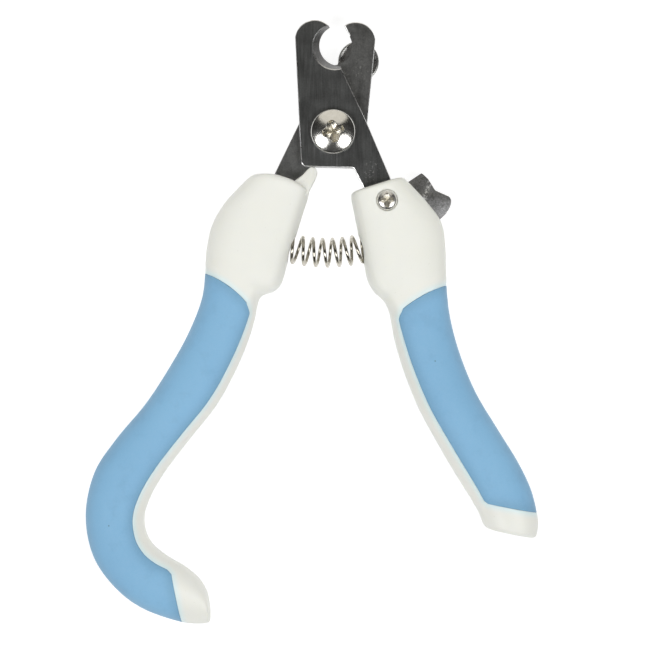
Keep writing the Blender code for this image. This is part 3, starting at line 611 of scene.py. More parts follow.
def blade_steel(name, dark, brush_degrees, worn_place, worn_reach, mottle):
    """Dark satin blade steel: brushing, cross scratches, mottling, and pits in a worn patch."""
    s = surface(name)
    brushed = s.lines(brush_degrees, (5200.0, 130.0, 130.0))
    cloud = s.noise(190.0, 4.0)
    colour = s.mix(s.ramp(cloud, 0.3, 0.7), dark, tuple(value * 1.2 for value in dark))
    blotch = s.ramp(s.noise(520.0, 5.0, 0.65), 0.42, 0.66, 0.0, mottle)
    colour = s.mix(blotch, colour, (0.13, 0.13, 0.13))
    speckle = s.ramp(s.noise(2300.0, 3.0, 0.6), 0.36, 0.64, 0.0, 0.30)
    colour = s.mix(speckle, colour, (0.07, 0.07, 0.07))
    colour = s.mix(s.ramp(brushed, 0.35, 0.7, 0.0, 0.25), colour, (0.36, 0.365, 0.36))
    marks = s.scratches(brush_degrees + 4.0, 1500.0, 0.76)
    for turn in (-38.0, 71.0, 24.0):
        marks = s.most(marks, s.scratches(turn, 1100.0, 0.75))
    worn = s.spot(worn_place, worn_reach * 0.35, worn_reach)
    pits = s.ramp(s.noise(1700.0, 3.0, 0.6), 0.62, 0.68, 0.0, 0.5)
    pits = s.times(s.most(pits, s.scratches(42.0, 700.0, 0.66)), worn)
    marks = s.most(s.times(marks, 0.45), pits)
    colour = s.mix(marks, colour, (0.82, 0.82, 0.80))
    normal = s.bump(brushed, 0.12, 0.00002)
    normal = s.bump(marks, 0.35, -0.00003, normal)
    uneven = s.calc("ADD", s.times(cloud, 0.5), s.times(brushed, 0.5))
    return s.metal(colour, normal, s.ramp(uneven, 0.3, 0.7, 0.30, 0.42))


def worn_edge_steel():
    """Bright rubbed edge of a blade, uneven along its length."""
    s = surface("worn_edge_steel")
    uneven = s.ramp(s.noise(420.0, 4.0, 0.6), 0.38, 0.62)
    colour = s.mix(uneven, (0.60, 0.60, 0.60), (0.97, 0.97, 0.96))
    normal = s.bump(s.noise(3000.0, 2.0), 0.2, 0.00001)
    return s.metal(colour, normal, s.ramp(uneven, 0.0, 1.0, 0.42, 0.26))


def ground_steel():
    """Ground face of a jaw's notch, with the grinding lines round the notch."""
    s = surface("ground_steel")
    lines = s.lines(0.0, (420.0, 420.0, 6200.0))
    colour = s.mix(s.ramp(lines, 0.3, 0.7), (0.16, 0.16, 0.16), (0.27, 0.265, 0.26))
    specks = s.ramp(s.noise(2400.0, 2.0), 0.66, 0.70)
    colour = s.mix(s.times(specks, 0.5), colour, (0.7, 0.7, 0.68))
    return s.metal(colour, s.bump(lines, 0.3, 0.00002), s.ramp(lines, 0.3, 0.7, 0.28, 0.42))


def pressed_steel():
    """Grey pressed sheet steel with a granular surface and scuffs beside the lever's bend."""
    s = surface("pressed_steel")
    grain = s.noise(3300.0, 3.0, 0.6)
    cloud = s.noise(420.0)
    colour = s.mix(s.ramp(grain, 0.35, 0.65), (0.15, 0.15, 0.152), (0.33, 0.33, 0.332))
    colour = s.mix(s.ramp(cloud, 0.4, 0.75, 0.0, 0.35), colour, (0.40, 0.40, 0.40))
    across = s.axis(s.stretched(LEVER_BEND_DEGREES, (1.0, 1.0, 1.0)), 0)
    lean = radians(LEVER_BEND_DEGREES)
    band_x = (LEVER_BEND[0] * cos(lean) - LEVER_BEND[1] * sin(lean)) * MM
    off = s.calc("ABSOLUTE", s.calc("SUBTRACT", across, band_x))
    band = s.ramp(off, 0.2 * MM, 0.9 * MM, 1.0, 0.0)
    scuff = s.ramp(s.noise(1500.0, 4.0, 0.7), 0.47, 0.60)
    scuff = s.times(s.times(band, scuff), s.spot(LEVER_BEND, 2.6, 4.0))
    marks = s.most(scuff, s.times(s.scratches(12.0, 900.0, 0.72), 0.4))
    colour = s.mix(marks, colour, (0.86, 0.86, 0.85))
    return s.metal(colour, s.bump(grain, 0.35, 0.00003), s.ramp(cloud, 0.3, 0.7, 0.40, 0.55))


def guard_steel():
    """Smoother, brighter sheet steel of the guard, with faint marks where it rubs on the blade."""
    s = surface("guard_steel")
    cloud = s.noise(330.0, 4.0)
    colour = s.mix(s.ramp(cloud, 0.3, 0.7), (0.42, 0.42, 0.41), (0.54, 0.535, 0.52))
    marks = s.most(s.scratches(-60.0, 900.0, 0.74), s.scratches(35.0, 1200.0, 0.74))
    colour = s.mix(s.times(marks, 0.5), colour, (0.85, 0.85, 0.83))
    normal = s.bump(s.lines(20.0, (3600.0, 160.0, 160.0)), 0.10, 0.00002)
    normal = s.bump(s.noise(2600.0, 2.0), 0.12, 0.00001, normal)
    return s.metal(colour, normal, s.ramp(cloud, 0.3, 0.7, 0.26, 0.36))


def plated_steel(name, rough_low, rough_high, recess=None):
    """Bright nickel plate; a drive recess, given by its centre and radius, is rougher and has
    painted shade, tan with dark patches.
    """
    s = surface(name)
    cloud = s.noise(900.0)
    colour = s.mix(s.ramp(cloud, 0.3, 0.7), (0.80, 0.785, 0.74), (0.88, 0.87, 0.835))
    rough = s.ramp(cloud, 0.3, 0.7, rough_low, rough_high)
    if recess is not None:
        place, reach = recess
        # Painted shade in the drive recess: its lower faces, most of all those facing up, turn
        # darker tan with dark patches.
        recess_shade = s.ramp(s.axis(s.at, 2), (place[2] - 0.2) * MM, place[2] * MM, 1.0, 0.0)
        recess_shade = s.times(recess_shade, s.spot(place, reach, reach + 0.2))
        recess_shade = s.times(recess_shade, s.ramp(s.facing("True Normal"), 0.6, 0.9, 0.1, 1.0))
        recess_shade_patches = s.ramp(s.noise(1500.0, 4.0, 0.6), 0.35, 0.65)
        colour = s.mix(recess_shade, colour, s.mix(recess_shade_patches, (0.74, 0.67, 0.50), (0.14, 0.12, 0.08)))
        rough = s.calc("ADD", rough, s.times(recess_shade, 0.30))
    hair = s.most(s.scratches(33.0, 2100.0, 0.72), s.scratches(-52.0, 2400.0, 0.73))
    normal = s.bump(hair, 0.12, -0.00001)
    normal = s.bump(s.noise(1400.0, 2.0), 0.10, 0.00001, normal)
    return s.metal(colour, normal, rough)


def spring_steel():
    """Drawn spring wire, darker than the plating, with a faint tan tone."""
    s = surface("spring_wire")
    cloud = s.noise(1100.0, 4.0, 0.6)
    colour = s.mix(s.ramp(cloud, 0.35, 0.65), (0.42, 0.39, 0.33), (0.66, 0.63, 0.56))
    normal = s.bump(s.noise(4200.0, 2.0), 0.15, 0.00001)
    return s.metal(colour, normal, s.ramp(cloud, 0.3, 0.7, 0.12, 0.22))


def washer_brass():
    """Satin brass, a little dull."""
    s = surface("washer_brass")
    cloud = s.noise(1200.0, 4.0)
    colour = s.mix(s.ramp(cloud, 0.3, 0.7), (0.62, 0.46, 0.25), (0.80, 0.66, 0.42))
    normal = s.bump(s.noise(3600.0, 2.0), 0.2, 0.00002)
    return s.metal(colour, normal, s.ramp(cloud, 0.3, 0.7, 0.28, 0.42))


# ---------------------------------------------------------------- handles

class Handle:
    """Skin of a handle: section lines between its outer and inner edges, with rounded sections."""

    def __init__(self, rows, grip_last_row, rail):
        self.outer = [Vector(row[0:2]) for row in rows]
        self.inner = [Vector(row[2:4]) for row in rows]
        self.bows = [row[4] for row in rows]
        self.last = len(rows) - 1
        self.grip_last = grip_last_row
        self.rail = rail

    def section(self, t):
        """Centre, unit vector to the inner edge, half width, bow vector and power at t."""
        outer = curve_point(self.outer, t)
        inner = curve_point(self.inner, t)
        across = (inner - outer).normalized()
        upwards = Vector((-across.y, across.x))
        if upwards.y < 0:
            upwards = -upwards
        i = min(int(t), self.last - 1)
        bow = self.bows[i] + (self.bows[i + 1] - self.bows[i]) * (t - i)
        blend = smooth_step((t - GRIP_FIRST_ROW + 3) / 5)
        power = HOUSING_POWER + (GRIP_POWER - HOUSING_POWER) * blend
        return (outer + inner) / 2, across, (inner - outer).length / 2, upwards * bow, power

    def half_thickness(self, t):
        """Half thickness of the skin at t, thinner past the grip."""
        blend = smooth_step((t - self.grip_last + 1) / (self.last - self.grip_last + 1))
        return HALF_THICKNESS + (TIP_HALF_THICKNESS - HALF_THICKNESS) * blend

    def point(self, t, angle, inset=0.0):
        """Point on the skin at an angle round the section, which is 0 at the inner edge."""
        centre, across, half, bow, power = self.section(t)
        u = signed_power(cos(angle), 2 / power)
        v = signed_power(sin(angle), 2 / power)
        flat = centre + across * (half - inset) * u + bow * (1 - u * u)
        height = SEAM_Z + (self.half_thickness(t) - inset) * v
        return Vector((flat.x, flat.y, max(height, inset)))

    def rail_angle(self, t):
        """Angle round the section of the grip's edge, a rail's width from the inner edge."""
        half, power = self.section(t)[2::2]
        share = min(max((t - GRIP_FIRST_ROW) / (self.grip_last - GRIP_FIRST_ROW), 0.0), 1.0)
        rail = self.rail[0] + (self.rail[1] - self.rail[0]) * share
        reach = (t - GRIP_FIRST_ROW) * FIRST_ROW_SPACING
        end_reach = (self.grip_last - t) * LAST_ROW_SPACING
        rail += GRIP_CORNER * 0.8 * (1 - smooth_step(abs(reach) / GRIP_CORNER)) ** 2
        rail += GRIP_CORNER * 0.3 * (1 - smooth_step(abs(end_reach) / GRIP_CORNER)) ** 2
        return acos((1 - rail / half) ** (power / 2))

    def inside_grip(self, t, angle):
        """Distance inside the grip's edge, in millimetres, less than 0 outside it."""
        folded = min(angle, 2 * pi - angle)
        across = (folded - self.rail_angle(t)) * SKIN_PER_RADIAN
        first = (t - GRIP_FIRST_ROW) * FIRST_ROW_SPACING
        last = (self.grip_last - t) * LAST_ROW_SPACING
        return min(across, first, last)

    def stations(self, first, last):
        """Evenly dense places along the handle, closer where it curves and at the grip's ends."""
        times = set()
        for row in range(self.last):
            steps = 6 if row < GRIP_FIRST_ROW else 14 if row == GRIP_FIRST_ROW else 9
            times.update(row + k / steps for k in range(steps))
        for distance in {entry[0] for entry in SHELL_DIP + GRIP_DIP}:
            times.add(GRIP_FIRST_ROW + distance / FIRST_ROW_SPACING)
            times.add(self.grip_last - distance / LAST_ROW_SPACING)
        return sorted(t for t in times if first <= t <= last)

    def shell_stations(self):
        """Places along a half shell, with the inset that rounds both ends."""
        ends = []
        for k in range(6):
            angle = pi / 2 * (1 - k / 5)
            ends.append((END_ROUNDING_ROWS * (1 - sin(angle)),
                         END_ROUNDING * (1 - cos(angle))))
        middle = self.stations(END_ROUNDING_ROWS + 0.05, self.last - END_ROUNDING_ROWS - 0.05)
        far = [(self.last - t, inset) for t, inset in reversed(ends)]
        return ends + [(t, 0.0) for t in middle] + far


def shell_angles(rail):
    """Angles round half a section, from the inner edge over the grip's edge to the outer edge."""
    edge = [rail + distance / SKIN_PER_RADIAN for distance, _ in SHELL_DIP]
    shares = (0.0, 0.012, 0.045, 0.11, 0.2, 0.31, 0.43, 0.56, 0.70, 0.84)
    inner = [edge[0] * share for share in shares]
    start = edge[-1]
    end = pi - 0.11
    outer = [start + (end - start) * k / 22 for k in range(1, 23)]
    near_outer = [pi - angle for angle in (0.07, 0.03, 0.01, 0.0)]
    return inner + edge + outer + near_outer


def half_shell(name, handle, front):
    """Front or back half of a handle, eased at the seam, with a seat for the soft grip."""
    sign = 1 if front else -1
    seam = SEAM_Z + sign * SEAM_GAP / 2
    rings = []
    for t, inset in handle.shell_stations():
        skin = []
        base = []
        for angle in shell_angles(handle.rail_angle(t)):
            depth = inset + table_value(SHELL_DIP, handle.inside_grip(t, angle))
            point = handle.point(t, sign * angle, depth)
            lowest = seam + sign * SEAM_EASE
            point.z = max(point.z, lowest) if front else min(point.z, lowest)
            skin.append(point)
            under = handle.point(t, sign * angle, depth + SEAM_EASE)
            base.append(Vector((under.x, under.y, seam)))
        rings.append([base[0]] + skin + list(reversed(base[1:])))
    return loft(name, rings, len(rings[0]) + 1)


def mark_near_grip(obj, handle, reach):
    """Store on each vertex how close it lies to the grip's edge, for the blue tint on the plastic
    and the painted shade on the rubber along the seam.
    """
    places = []
    steps = 160
    for k in range(steps + 1):
        t = GRIP_FIRST_ROW + (handle.grip_last - GRIP_FIRST_ROW) * k / steps
        rail = handle.rail_angle(t)
        places += [handle.point(t, rail), handle.point(t, -rail)]
    for t in (GRIP_FIRST_ROW, handle.grip_last):
        rail = handle.rail_angle(t)
        for k in range(81):
            places.append(handle.point(t, rail + (2 * pi - 2 * rail) * k / 80))
    tree = KDTree(len(places))
    for k, place in enumerate(places):
        tree.insert(place * MM, k)
    tree.balance()
    attribute = obj.data.attributes.new(NEAR_GRIP, "FLOAT", "POINT")
    for vertex, entry in zip(obj.data.vertices, attribute.data):
        distance = tree.find(vertex.co)[2] / MM
        entry.value = exp(-(distance / reach) ** 2)


def soft_grip(name, handle):
    """Soft skin round the outer side of a handle, with rolled edges."""
    first = GRIP_FIRST_ROW + GRIP_DIP[0][0] / FIRST_ROW_SPACING
    last = handle.grip_last - GRIP_DIP[0][0] / LAST_ROW_SPACING
    rings = []
    for t in handle.stations(first - 1e-6, last + 1e-6):
        start = handle.rail_angle(t)
        edge = [start + distance / SKIN_PER_RADIAN for distance, _ in GRIP_DIP]
        half = edge + [edge[-1] + (pi - edge[-1]) * k / 26 for k in range(1, 27)]
        angles = half + [2 * pi - angle for angle in reversed(half[:-1])]
        ring = []
        for angle in angles:
            ring.append(handle.point(t, angle, table_value(GRIP_DIP, handle.inside_grip(t, angle))))
        ring += [handle.point(t, angle, GRIP_BACK) for angle in reversed(angles)]
        rings.append(ring)
    return loft(name, rings, len(rings[0]) - 1)


def spring_axis(x):
    """Height y and slope of the spring's bowed axis at x."""
    middle = (SPRING_ENDS[0] + SPRING_ENDS[1]) / 2
    half = (SPRING_ENDS[1] - SPRING_ENDS[0]) / 2
    share = (x - middle) / half
    return SPRING_END_Y - SPRING_BOW * (1 - share * share), 2 * SPRING_BOW * share / half


def spring_pocket(end):
    """Cylinder along the spring's end that cuts its seat into a housing; end 0 is the left one."""
    inwards = 1 if end == 0 else -1
    y, slope = spring_axis(SPRING_ENDS[end])
    along = Vector((1.0, slope, 0.0)).normalized() * inwards
    side = Vector((-along.y, along.x, 0.0))
    floor = Vector((SPRING_ENDS[end], y, SEAM_Z)) - along * SPRING_POCKET_SLACK
    rings = []
    for distance in (0.0, SPRING_POCKET_LENGTH):
        middle = floor + along * distance
        rings.append([middle + side * a + Vector((0.0, 0.0, b))
                      for a, b in circle((0.0, 0.0), SPRING_POCKET_RADIUS, 64)])
    return loft("spring_pocket", rings)


def tang_outline():
    """Outline of the front blade's tang alone, anticlockwise, from above the housing to its end."""
    return [(3.5, -6.0), (8.12, -14.83)] + TANG_END + [(15.5, -12.8), (12.5, -6.0)]


def mirrored(outline):
    """Outline reflected in the jaws' leaning middle line, kept anticlockwise."""
    axis = Vector((sin(JAW_AXIS_LEAN), cos(JAW_AXIS_LEAN)))
    points = []
    for point in reversed(outline):
        here = Vector(point)
        points.append(tuple(2 * here.dot(axis) * axis - here))
    return points


def stop_nub():
    """Finger of the left housing that stops the front blade, sloping down to its tip."""
    outline = [(-11.6, -15.2), (-11.0, -13.7), (-8.0, -11.5), (-6.7, -9.95), (-6.0, -9.5),
               (-5.3, -9.4), (-4.6, -9.75), (-4.1, -11.0), (-4.8, -12.9), (-7.0, -17.2)]
    shape = rounded(list(reversed(outline)), 0.3, 3)
    nub = plate("stop_nub", shape, [], NUB_Z, 0.45)
    tip = Vector((-5.3, -9.4))
    back = Vector((-0.45, -0.89))
    for vertex in nub.data.vertices:
        if vertex.co.z > 9.0 * MM:
            along = (Vector((vertex.co.x, vertex.co.y)) / MM - tip).dot(back)
            vertex.co.z += 0.22 * max(along - 1.0, 0.0) * MM
    return nub


def round_cutter(place, radius, z_range, steps=HOLE_STEPS):
    """Cylinder that cuts a round hole or seat."""
    return plate("round_cutter", circle(place, radius, steps), [], z_range)


def pin_holes(places):
    """Cutters for the dowel pins' holes through a tang and into both half shells."""
    return [round_cutter(place, PIN_HOLE_RADIUS, PIN_HOLE_Z) for place in places]


def tang_slot(tang, bottom, top):
    """Cutter for the space round a blade's tang."""
    return plate("tang_slot", grown(tang, PLATE_CLEARANCE), [], (bottom, top))


def lock_pocket():
    """Space in the left housing for the hook's tooth when the trimmer is closed and locked."""
    hub = tuple(Matrix.Rotation(-CLOSED_ANGLE, 2) @ Vector(LOCK_AXIS))
    first = radians(112)
    last = radians(164)
    outer = arc(hub, HOOK_OUTER_RADIUS + TOOTH_CLEARANCE, first, last, 24)
    inner = arc(hub, HOOK_INNER_RADIUS - TOOTH_CLEARANCE, last, first, 24)
    return plate("lock_pocket", outer + inner, [], LOCK_SLOT_Z)


def finish_handle(side, handle, front, back, plastic, rubber):
    """Finish a handle's half shells and add its grip; returns the three pieces."""
    for obj, cad in ((front, side + "_front_shell"), (back, side + "_back_shell")):
        mark_near_grip(obj, handle, PLASTIC_TINT_REACH)
        finish_piece(obj, plastic, side + "_side", "handle_plastic", cad)
    grip = soft_grip(side + "_grip_soft", handle)
    mark_near_grip(grip, handle, RUBBER_SHADE_REACH)
    finish_piece(grip, rubber, side + "_side", "grip_rubber", side + "_grip",
                 angle=SHARP_SOFT_ANGLE)
    return [front, back, grip]


def build_left_handle(plastic, rubber):
    """Left half shells, with the stop nub and the space for the hook's tooth, and grip."""
    handle = Handle(LEFT_ROWS, LEFT_GRIP_LAST_ROW, LEFT_RAIL)
    front = half_shell("left_front_shell_moulded", handle, True)
    combine(front, [stop_nub()], "UNION")
    combine(front, [spring_pocket(0)] + pin_holes(LEFT_PINS), solver="MANIFOLD")
    back = half_shell("left_back_shell_moulded", handle, False)
    slot = tang_slot(mirrored(tang_outline()), REAR_BLADE_Z[0] - SLOT_HEIGHT_CLEARANCE, SEAM_Z)
    combine(back, [spring_pocket(0), slot, lock_pocket()] + pin_holes(LEFT_PINS), solver="MANIFOLD")
    return finish_handle("left", handle, front, back, plastic, rubber)


def build_right_handle(plastic, rubber):
    """Right half shells, with the lever's slot and the lock screw's seat, and grip."""
    handle = Handle(RIGHT_ROWS, RIGHT_GRIP_LAST_ROW, RIGHT_RAIL)
    front = half_shell("right_front_shell_moulded", handle, True)
    slot = tang_slot(tang_outline(), SEAM_Z, FRONT_BLADE_Z[1] + SLOT_HEIGHT_CLEARANCE)
    hole = round_cutter(LOCK_AXIS, LOCK_HOLE_RADIUS, (BELOW, ABOVE))
    seat = round_cutter(LOCK_AXIS, LOCK_SEAT_RADIUS, (LOCK_SEAT_Z, ABOVE), ROUND_STEPS)
    cutters = [spring_pocket(1), slot, hole, seat] + pin_holes(RIGHT_PINS)
    combine(front, cutters, solver="MANIFOLD")
    back = half_shell("right_back_shell_moulded", handle, False)
    slot_outline = [(3.0, -2.0), (3.0, -18.2), (10.6, -21.2), (14.3, -22.5), (22.2, -22.6),
                    (28.2, -24.2), (36.0, -25.9), (36.0, -2.0)]
    lever_slot = plate("lever_slot", slot_outline, [], LOCK_SLOT_Z)
    hole = round_cutter(LOCK_AXIS, LOCK_HOLE_RADIUS, (BELOW, ABOVE))
    nut_space = (LOCK_NUT_FLATS + LOCK_NUT_SLACK) / sqrt(3)
    nut_pocket = round_cutter(LOCK_AXIS, nut_space, (BELOW, LOCK_NUT_POCKET_TOP), 6)
    cutters = [spring_pocket(1), lever_slot, hole, nut_pocket] + pin_holes(RIGHT_PINS)
    combine(back, cutters, solver="MANIFOLD")
    return finish_handle("right", handle, front, back, plastic, rubber)


# ---------------------------------------------------------------- blades, guard and lever

def blade_outline(tip):
    """Outline of a blade, anticlockwise: tip, head, straight side, body, tang, slanting side."""
    tip_angle, tip_points = tip
    head = arc((-4.85, 24.5), 5.3, radians(tip_angle), radians(173), 44)
    corner = arc((-7.0, -7.75), 1.5, radians(180), radians(270), 14)
    waist = rounded([(4.7, -9.25), (5.5, -9.6), (8.12, -14.83)], 0.3, 2)
    slant = [(15.5, -12.8), (9.2, 2.0), (2.15, 17.1)]
    return (tip_points + head + [(-9.02, 2.2)] + corner + waist[3:6] + [(8.12, -14.83)]
            + TANG_END + slant)


def notch_cutter(notch, z_cutting, z_bevel, material, edge_material):
    """Sheared cone that passes through a blade and leaves its cutting edge on one face."""
    rings = []
    for share, widening in ((-0.2, 0.0), (0.93, 0.0), (1.2, 0.7)):
        x, y, radius = (a + (b - a) * share for a, b in zip(*notch))
        z = z_cutting + (z_bevel - z_cutting) * share
        rings.append([Vector((px, py, z)) for px, py in circle((x, y), radius + widening, 160)])
    cutter = loft("notch_cutter", rings)
    cutter.data.materials.append(material)
    cutter.data.materials.append(edge_material)
    edge_share = 0.95
    for face in cutter.data.polygons:
        if (face.center.z / MM - z_cutting) / (z_bevel - z_cutting) > edge_share:
            face.material_index = 1
    return cutter


def mark_edges(obj, edge_steel):
    """Give the narrow slanted faces along a blade's top and bottom edges the rubbed steel."""
    obj.data.materials.append(edge_steel)
    for face in obj.data.polygons:
        if 0.25 < abs(face.normal.z) < 0.95:
            face.material_index = 1


def build_blade(name, outline, holes, z_range, notch, steels):
    """Blade with eased, rubbed edges and a ground notch; z_range starts at the cutting face."""
    steel, ground, edge_steel = steels
    blade = plate(name, outline, [circle((0.0, 0.0), PIVOT_HOLE_RADIUS)] + holes, sorted(z_range),
                  BLADE_EDGE)
    blade.data.materials.append(steel)
    mark_edges(blade, edge_steel)
    return combine(blade, [notch_cutter(notch, *z_range, ground, edge_steel)])


def build_blades(front_steel, rear_steel, ground, edge_steel):
    """Both blades."""
    front_holes = [circle(LOCK_AXIS, LOCK_HOLE_RADIUS, 32)]
    front_holes += [circle(place, PIN_HOLE_RADIUS, 32) for place in RIGHT_PINS]
    front = build_blade("front_blade_ground", blade_outline(FRONT_TIP), front_holes, FRONT_BLADE_Z,
                        FRONT_NOTCH, (front_steel, ground, edge_steel))
    finish_piece(front, None, "right_side", "blade_steel", "front_blade", angle=SHARP_BLADE_ANGLE)
    rear_holes = [circle(place, PIN_HOLE_RADIUS, 32) for place in LEFT_PINS]
    rear = build_blade("rear_blade_ground", mirrored(blade_outline(REAR_TIP)), rear_holes,
                       REAR_BLADE_Z[::-1], REAR_NOTCH, (rear_steel, ground, edge_steel))
    finish_piece(rear, None, "left_side", "blade_steel", "rear_blade", angle=SHARP_BLADE_ANGLE)


def guard_outline():
    """Guard's boss and arm, full width on the left of the arm and narrow on its right."""
    aim = atan2(GUARD_HEAD[1], GUARD_HEAD[0])
    joint_radius = GUARD_HEAD_RADIUS - GUARD_ARM_OVERLAP
    boss_spread = asin(GUARD_ARM_HALF_WIDTH / GUARD_BOSS_RADIUS)
    joint_spread = asin(GUARD_ARM_HALF_WIDTH / joint_radius)
    left = aim + pi / 2
    boss = arc((0.0, 0.0), GUARD_BOSS_RADIUS, left, aim + 2 * pi - boss_spread, 72)
    joint = arc(GUARD_HEAD, joint_radius, aim + pi + joint_spread, left + GUARD_ARM_END, 32)
    return boss + joint


def dish_profile():
    """Half section of the guard's head: a shallow dish with a rounded bead round its rim."""
    bottom, top = GUARD_Z
    thickness = top - bottom
    bead = thickness / 2
    bead_radius = GUARD_HEAD_RADIUS - bead
    upper = []
    for k in range(15):
        share = k / 14
        drop = GUARD_DISH_DEPTH * (1 - smooth_step(share * 1.12))
        upper.append((bead_radius * 0.93 * share, top - 0.12 - drop))
    rim = arc((bead_radius, top - bead), bead, radians(115), radians(-90), 12)
    lower = [(radius, height - thickness + 0.12) for radius, height in reversed(upper)]
    return upper + rim + lower


def build_guard(steel):
    """Safety guard: boss and arm in one plate, joined to a dished round head."""
    hole = circle((0.0, 0.0), PIVOT_HOLE_RADIUS)
    guard = plate("safety_guard_pressed", guard_outline(), [hole], GUARD_Z, 0.12)
    combine(guard, [turned("guard_dish", dish_profile(), GUARD_HEAD)], "UNION")
    finish_piece(guard, steel, "safety_guard", "pressed_steel", "safety_guard")


def lever_outline():
    """Lock lever in its open place: thumb tab, hub and hook arm, anticlockwise."""
    hub = LOCK_AXIS
    tab = rounded([(16.8, -21.5), (19.95, -13.2), (23.8, -10.6), (25.6, -12.3), (26.75, -14.2),
                   (27.4, -15.3), (31.3, -17.0), (31.8, -18.1), (31.4, -19.8), (30.2, -21.7),
                   (28.4, -23.4), (22.3, -22.0)], 0.45, 3)[4:]
    hub_spread = asin(HOOK_HALF_WIDTH / HUB_RADIUS)
    inner_spread = asin(HOOK_HALF_WIDTH / HOOK_INNER_RADIUS)
    outer_spread = asin(HOOK_HALF_WIDTH / HOOK_OUTER_RADIUS)
    below = arc(hub, HUB_RADIUS, radians(-70), HOOK_ARM_ANGLE + hub_spread - 2 * pi, 24)
    throat = arc(hub, HOOK_INNER_RADIUS, HOOK_ARM_ANGLE + inner_spread, HOOK_TOOTH_ANGLE, 12)
    crown = arc(hub, HOOK_OUTER_RADIUS, HOOK_TOOTH_ANGLE, HOOK_ARM_ANGLE - outer_spread, 16)
    above = arc(hub, HUB_RADIUS, HOOK_ARM_ANGLE - hub_spread, radians(62), 6)
    return list(reversed(tab + [(16.8, -21.5)] + below + throat + crown + above))


def build_lever(steel):
    """Lock lever with eased edges."""
    hole = circle(LOCK_AXIS, LOCK_HOLE_RADIUS, HOLE_STEPS)
    lever = plate("lock_lever_pressed", lever_outline(), [hole], LOCK_LEVER_Z, 0.14)
    finish_piece(lever, steel, "lock_lever", "pressed_steel", "lock_lever")


# ---------------------------------------------------------------- screws, nuts and spring

def head_profile(z_range, radius, dome_radius, dome_reach, side_height, shank_radius, end_z):
    """Profile of a domed screw head with a rounded shoulder, and its plain shank."""
    bottom, top = z_range
    centre_z = top - dome_radius
    edge_angle = acos(dome_reach / dome_radius)
    dome = arc((0.0, centre_z), dome_radius, radians(90), edge_angle, 24)
    last = Vector(dome[-1])
    run = radius - dome_reach
    corner = Vector((radius, last.y - run / tan(edge_angle)))
    low = Vector((radius, bottom + side_height))
    bend = [tuple(last.lerp(corner, k / 8).lerp(corner.lerp(low, k / 8), k / 8))
            for k in range(1, 9)]
    return dome + bend + [(radius, bottom + 0.2), (radius - 0.2, bottom), (shank_radius, bottom),
                          (shank_radius, end_z + 0.3), (shank_radius - 0.3, end_z), (0.0, end_z)]


def cross_recess(centre, top_z, depth, reach, half_width, turn_degrees):
    """Tapered cross cutter for a screw's drive recess."""
    rings = []
    levels = ((0.5, 0.55), (0.12, 0.17), (-0.06, 0.04), (-0.2, 0.0), (-0.8 * depth, -0.19 * reach),
              (-depth, -0.26 * reach))
    for rise, widening in levels:
        z = top_z + rise
        arm = reach + widening
        width = half_width + widening
        ring = []
        for quarter in range(4):
            angle = radians(turn_degrees + 90 * quarter)
            along = Vector((cos(angle), sin(angle)))
            side = Vector((-along.y, along.x))
            for point in (along * arm * 0.92 - side * width, along * arm - side * width * 0.5,
                          along * arm + side * width * 0.5, along * arm * 0.92 + side * width,
                          (along + side) * width * CROSS_CORNER):
                ring.append(Vector((centre[0] + point.x, centre[1] + point.y, z)))
        rings.append(ring)
    return loft("cross_recess", rings)


def hex_nut(name, centre, flats, z_range, hole_radius):
    """Hexagon nut with chamfered corners."""
    bottom, top = z_range
    corner = flats / sqrt(3)
    face = flats / 2 * NUT_FACE_SHARE
    nut = plate(name, circle(centre, corner, 6), [circle(centre, hole_radius, 64)], z_range)
    chamfer = (corner - face) * NUT_CHAMFER_SLOPE
    past = 0.01
    side = corner + 0.05
    profile = [(0.0, top + past), (face, top + past), (side, top - chamfer),
               (side, bottom + chamfer), (face, bottom - past), (0.0, bottom - past)]
    return combine(nut, [turned("nut_turning", profile, centre)], "INTERSECT")


def build_fasteners(bright, lock_bright, nickel, brass):
    """Pivot screw and nut, lock screw, washer and nut."""
    pivot = (0.0, 0.0)
    profile = head_profile(PIVOT_HEAD_Z, PIVOT_HEAD_RADIUS, dome_radius=13.0, dome_reach=5.6,
                           side_height=1.0, shank_radius=PIVOT_SHANK_RADIUS, end_z=0.0)
    screw = turned("pivot_screw_domed", profile)
    combine(screw, [cross_recess(pivot, top_z=12.8, depth=1.7, reach=2.9, half_width=0.85,
                                 turn_degrees=15.0)])
    finish_piece(screw, bright, "left_side", "plated_steel", "pivot_screw", angle=SHARP_SCREW_ANGLE)
    nut = hex_nut("pivot_nut_chamfered", pivot, PIVOT_NUT_FLATS, PIVOT_NUT_Z, PIVOT_HOLE_RADIUS)
    finish_piece(nut, nickel, "left_side", "plated_steel", "pivot_nut")
    profile = head_profile(LOCK_HEAD_Z, LOCK_HEAD_RADIUS, dome_radius=6.0, dome_reach=2.0,
                           side_height=0.35, shank_radius=LOCK_SHANK_RADIUS, end_z=0.2)
    screw = turned("lock_screw_domed", profile, LOCK_AXIS)
    combine(screw, [cross_recess(LOCK_AXIS, top_z=15.4, depth=1.1, reach=1.9, half_width=0.46,
                                 turn_degrees=2.0)])
    finish_piece(screw, lock_bright, "right_side", "plated_steel", "lock_screw",
                 angle=SHARP_SCREW_ANGLE)
    nut = hex_nut("lock_nut_chamfered", LOCK_AXIS, LOCK_NUT_FLATS, LOCK_NUT_Z, LOCK_HOLE_RADIUS)
    finish_piece(nut, nickel, "right_side", "plated_steel", "lock_nut")
    hole = circle(LOCK_AXIS, LOCK_HOLE_RADIUS, HOLE_STEPS)
    washer = plate("lock_washer_eased", circle(LOCK_AXIS, LOCK_WASHER_RADIUS), [hole],
                   LOCK_WASHER_Z, 0.08)
    finish_piece(washer, brass, "right_side", "washer_brass", "lock_washer")


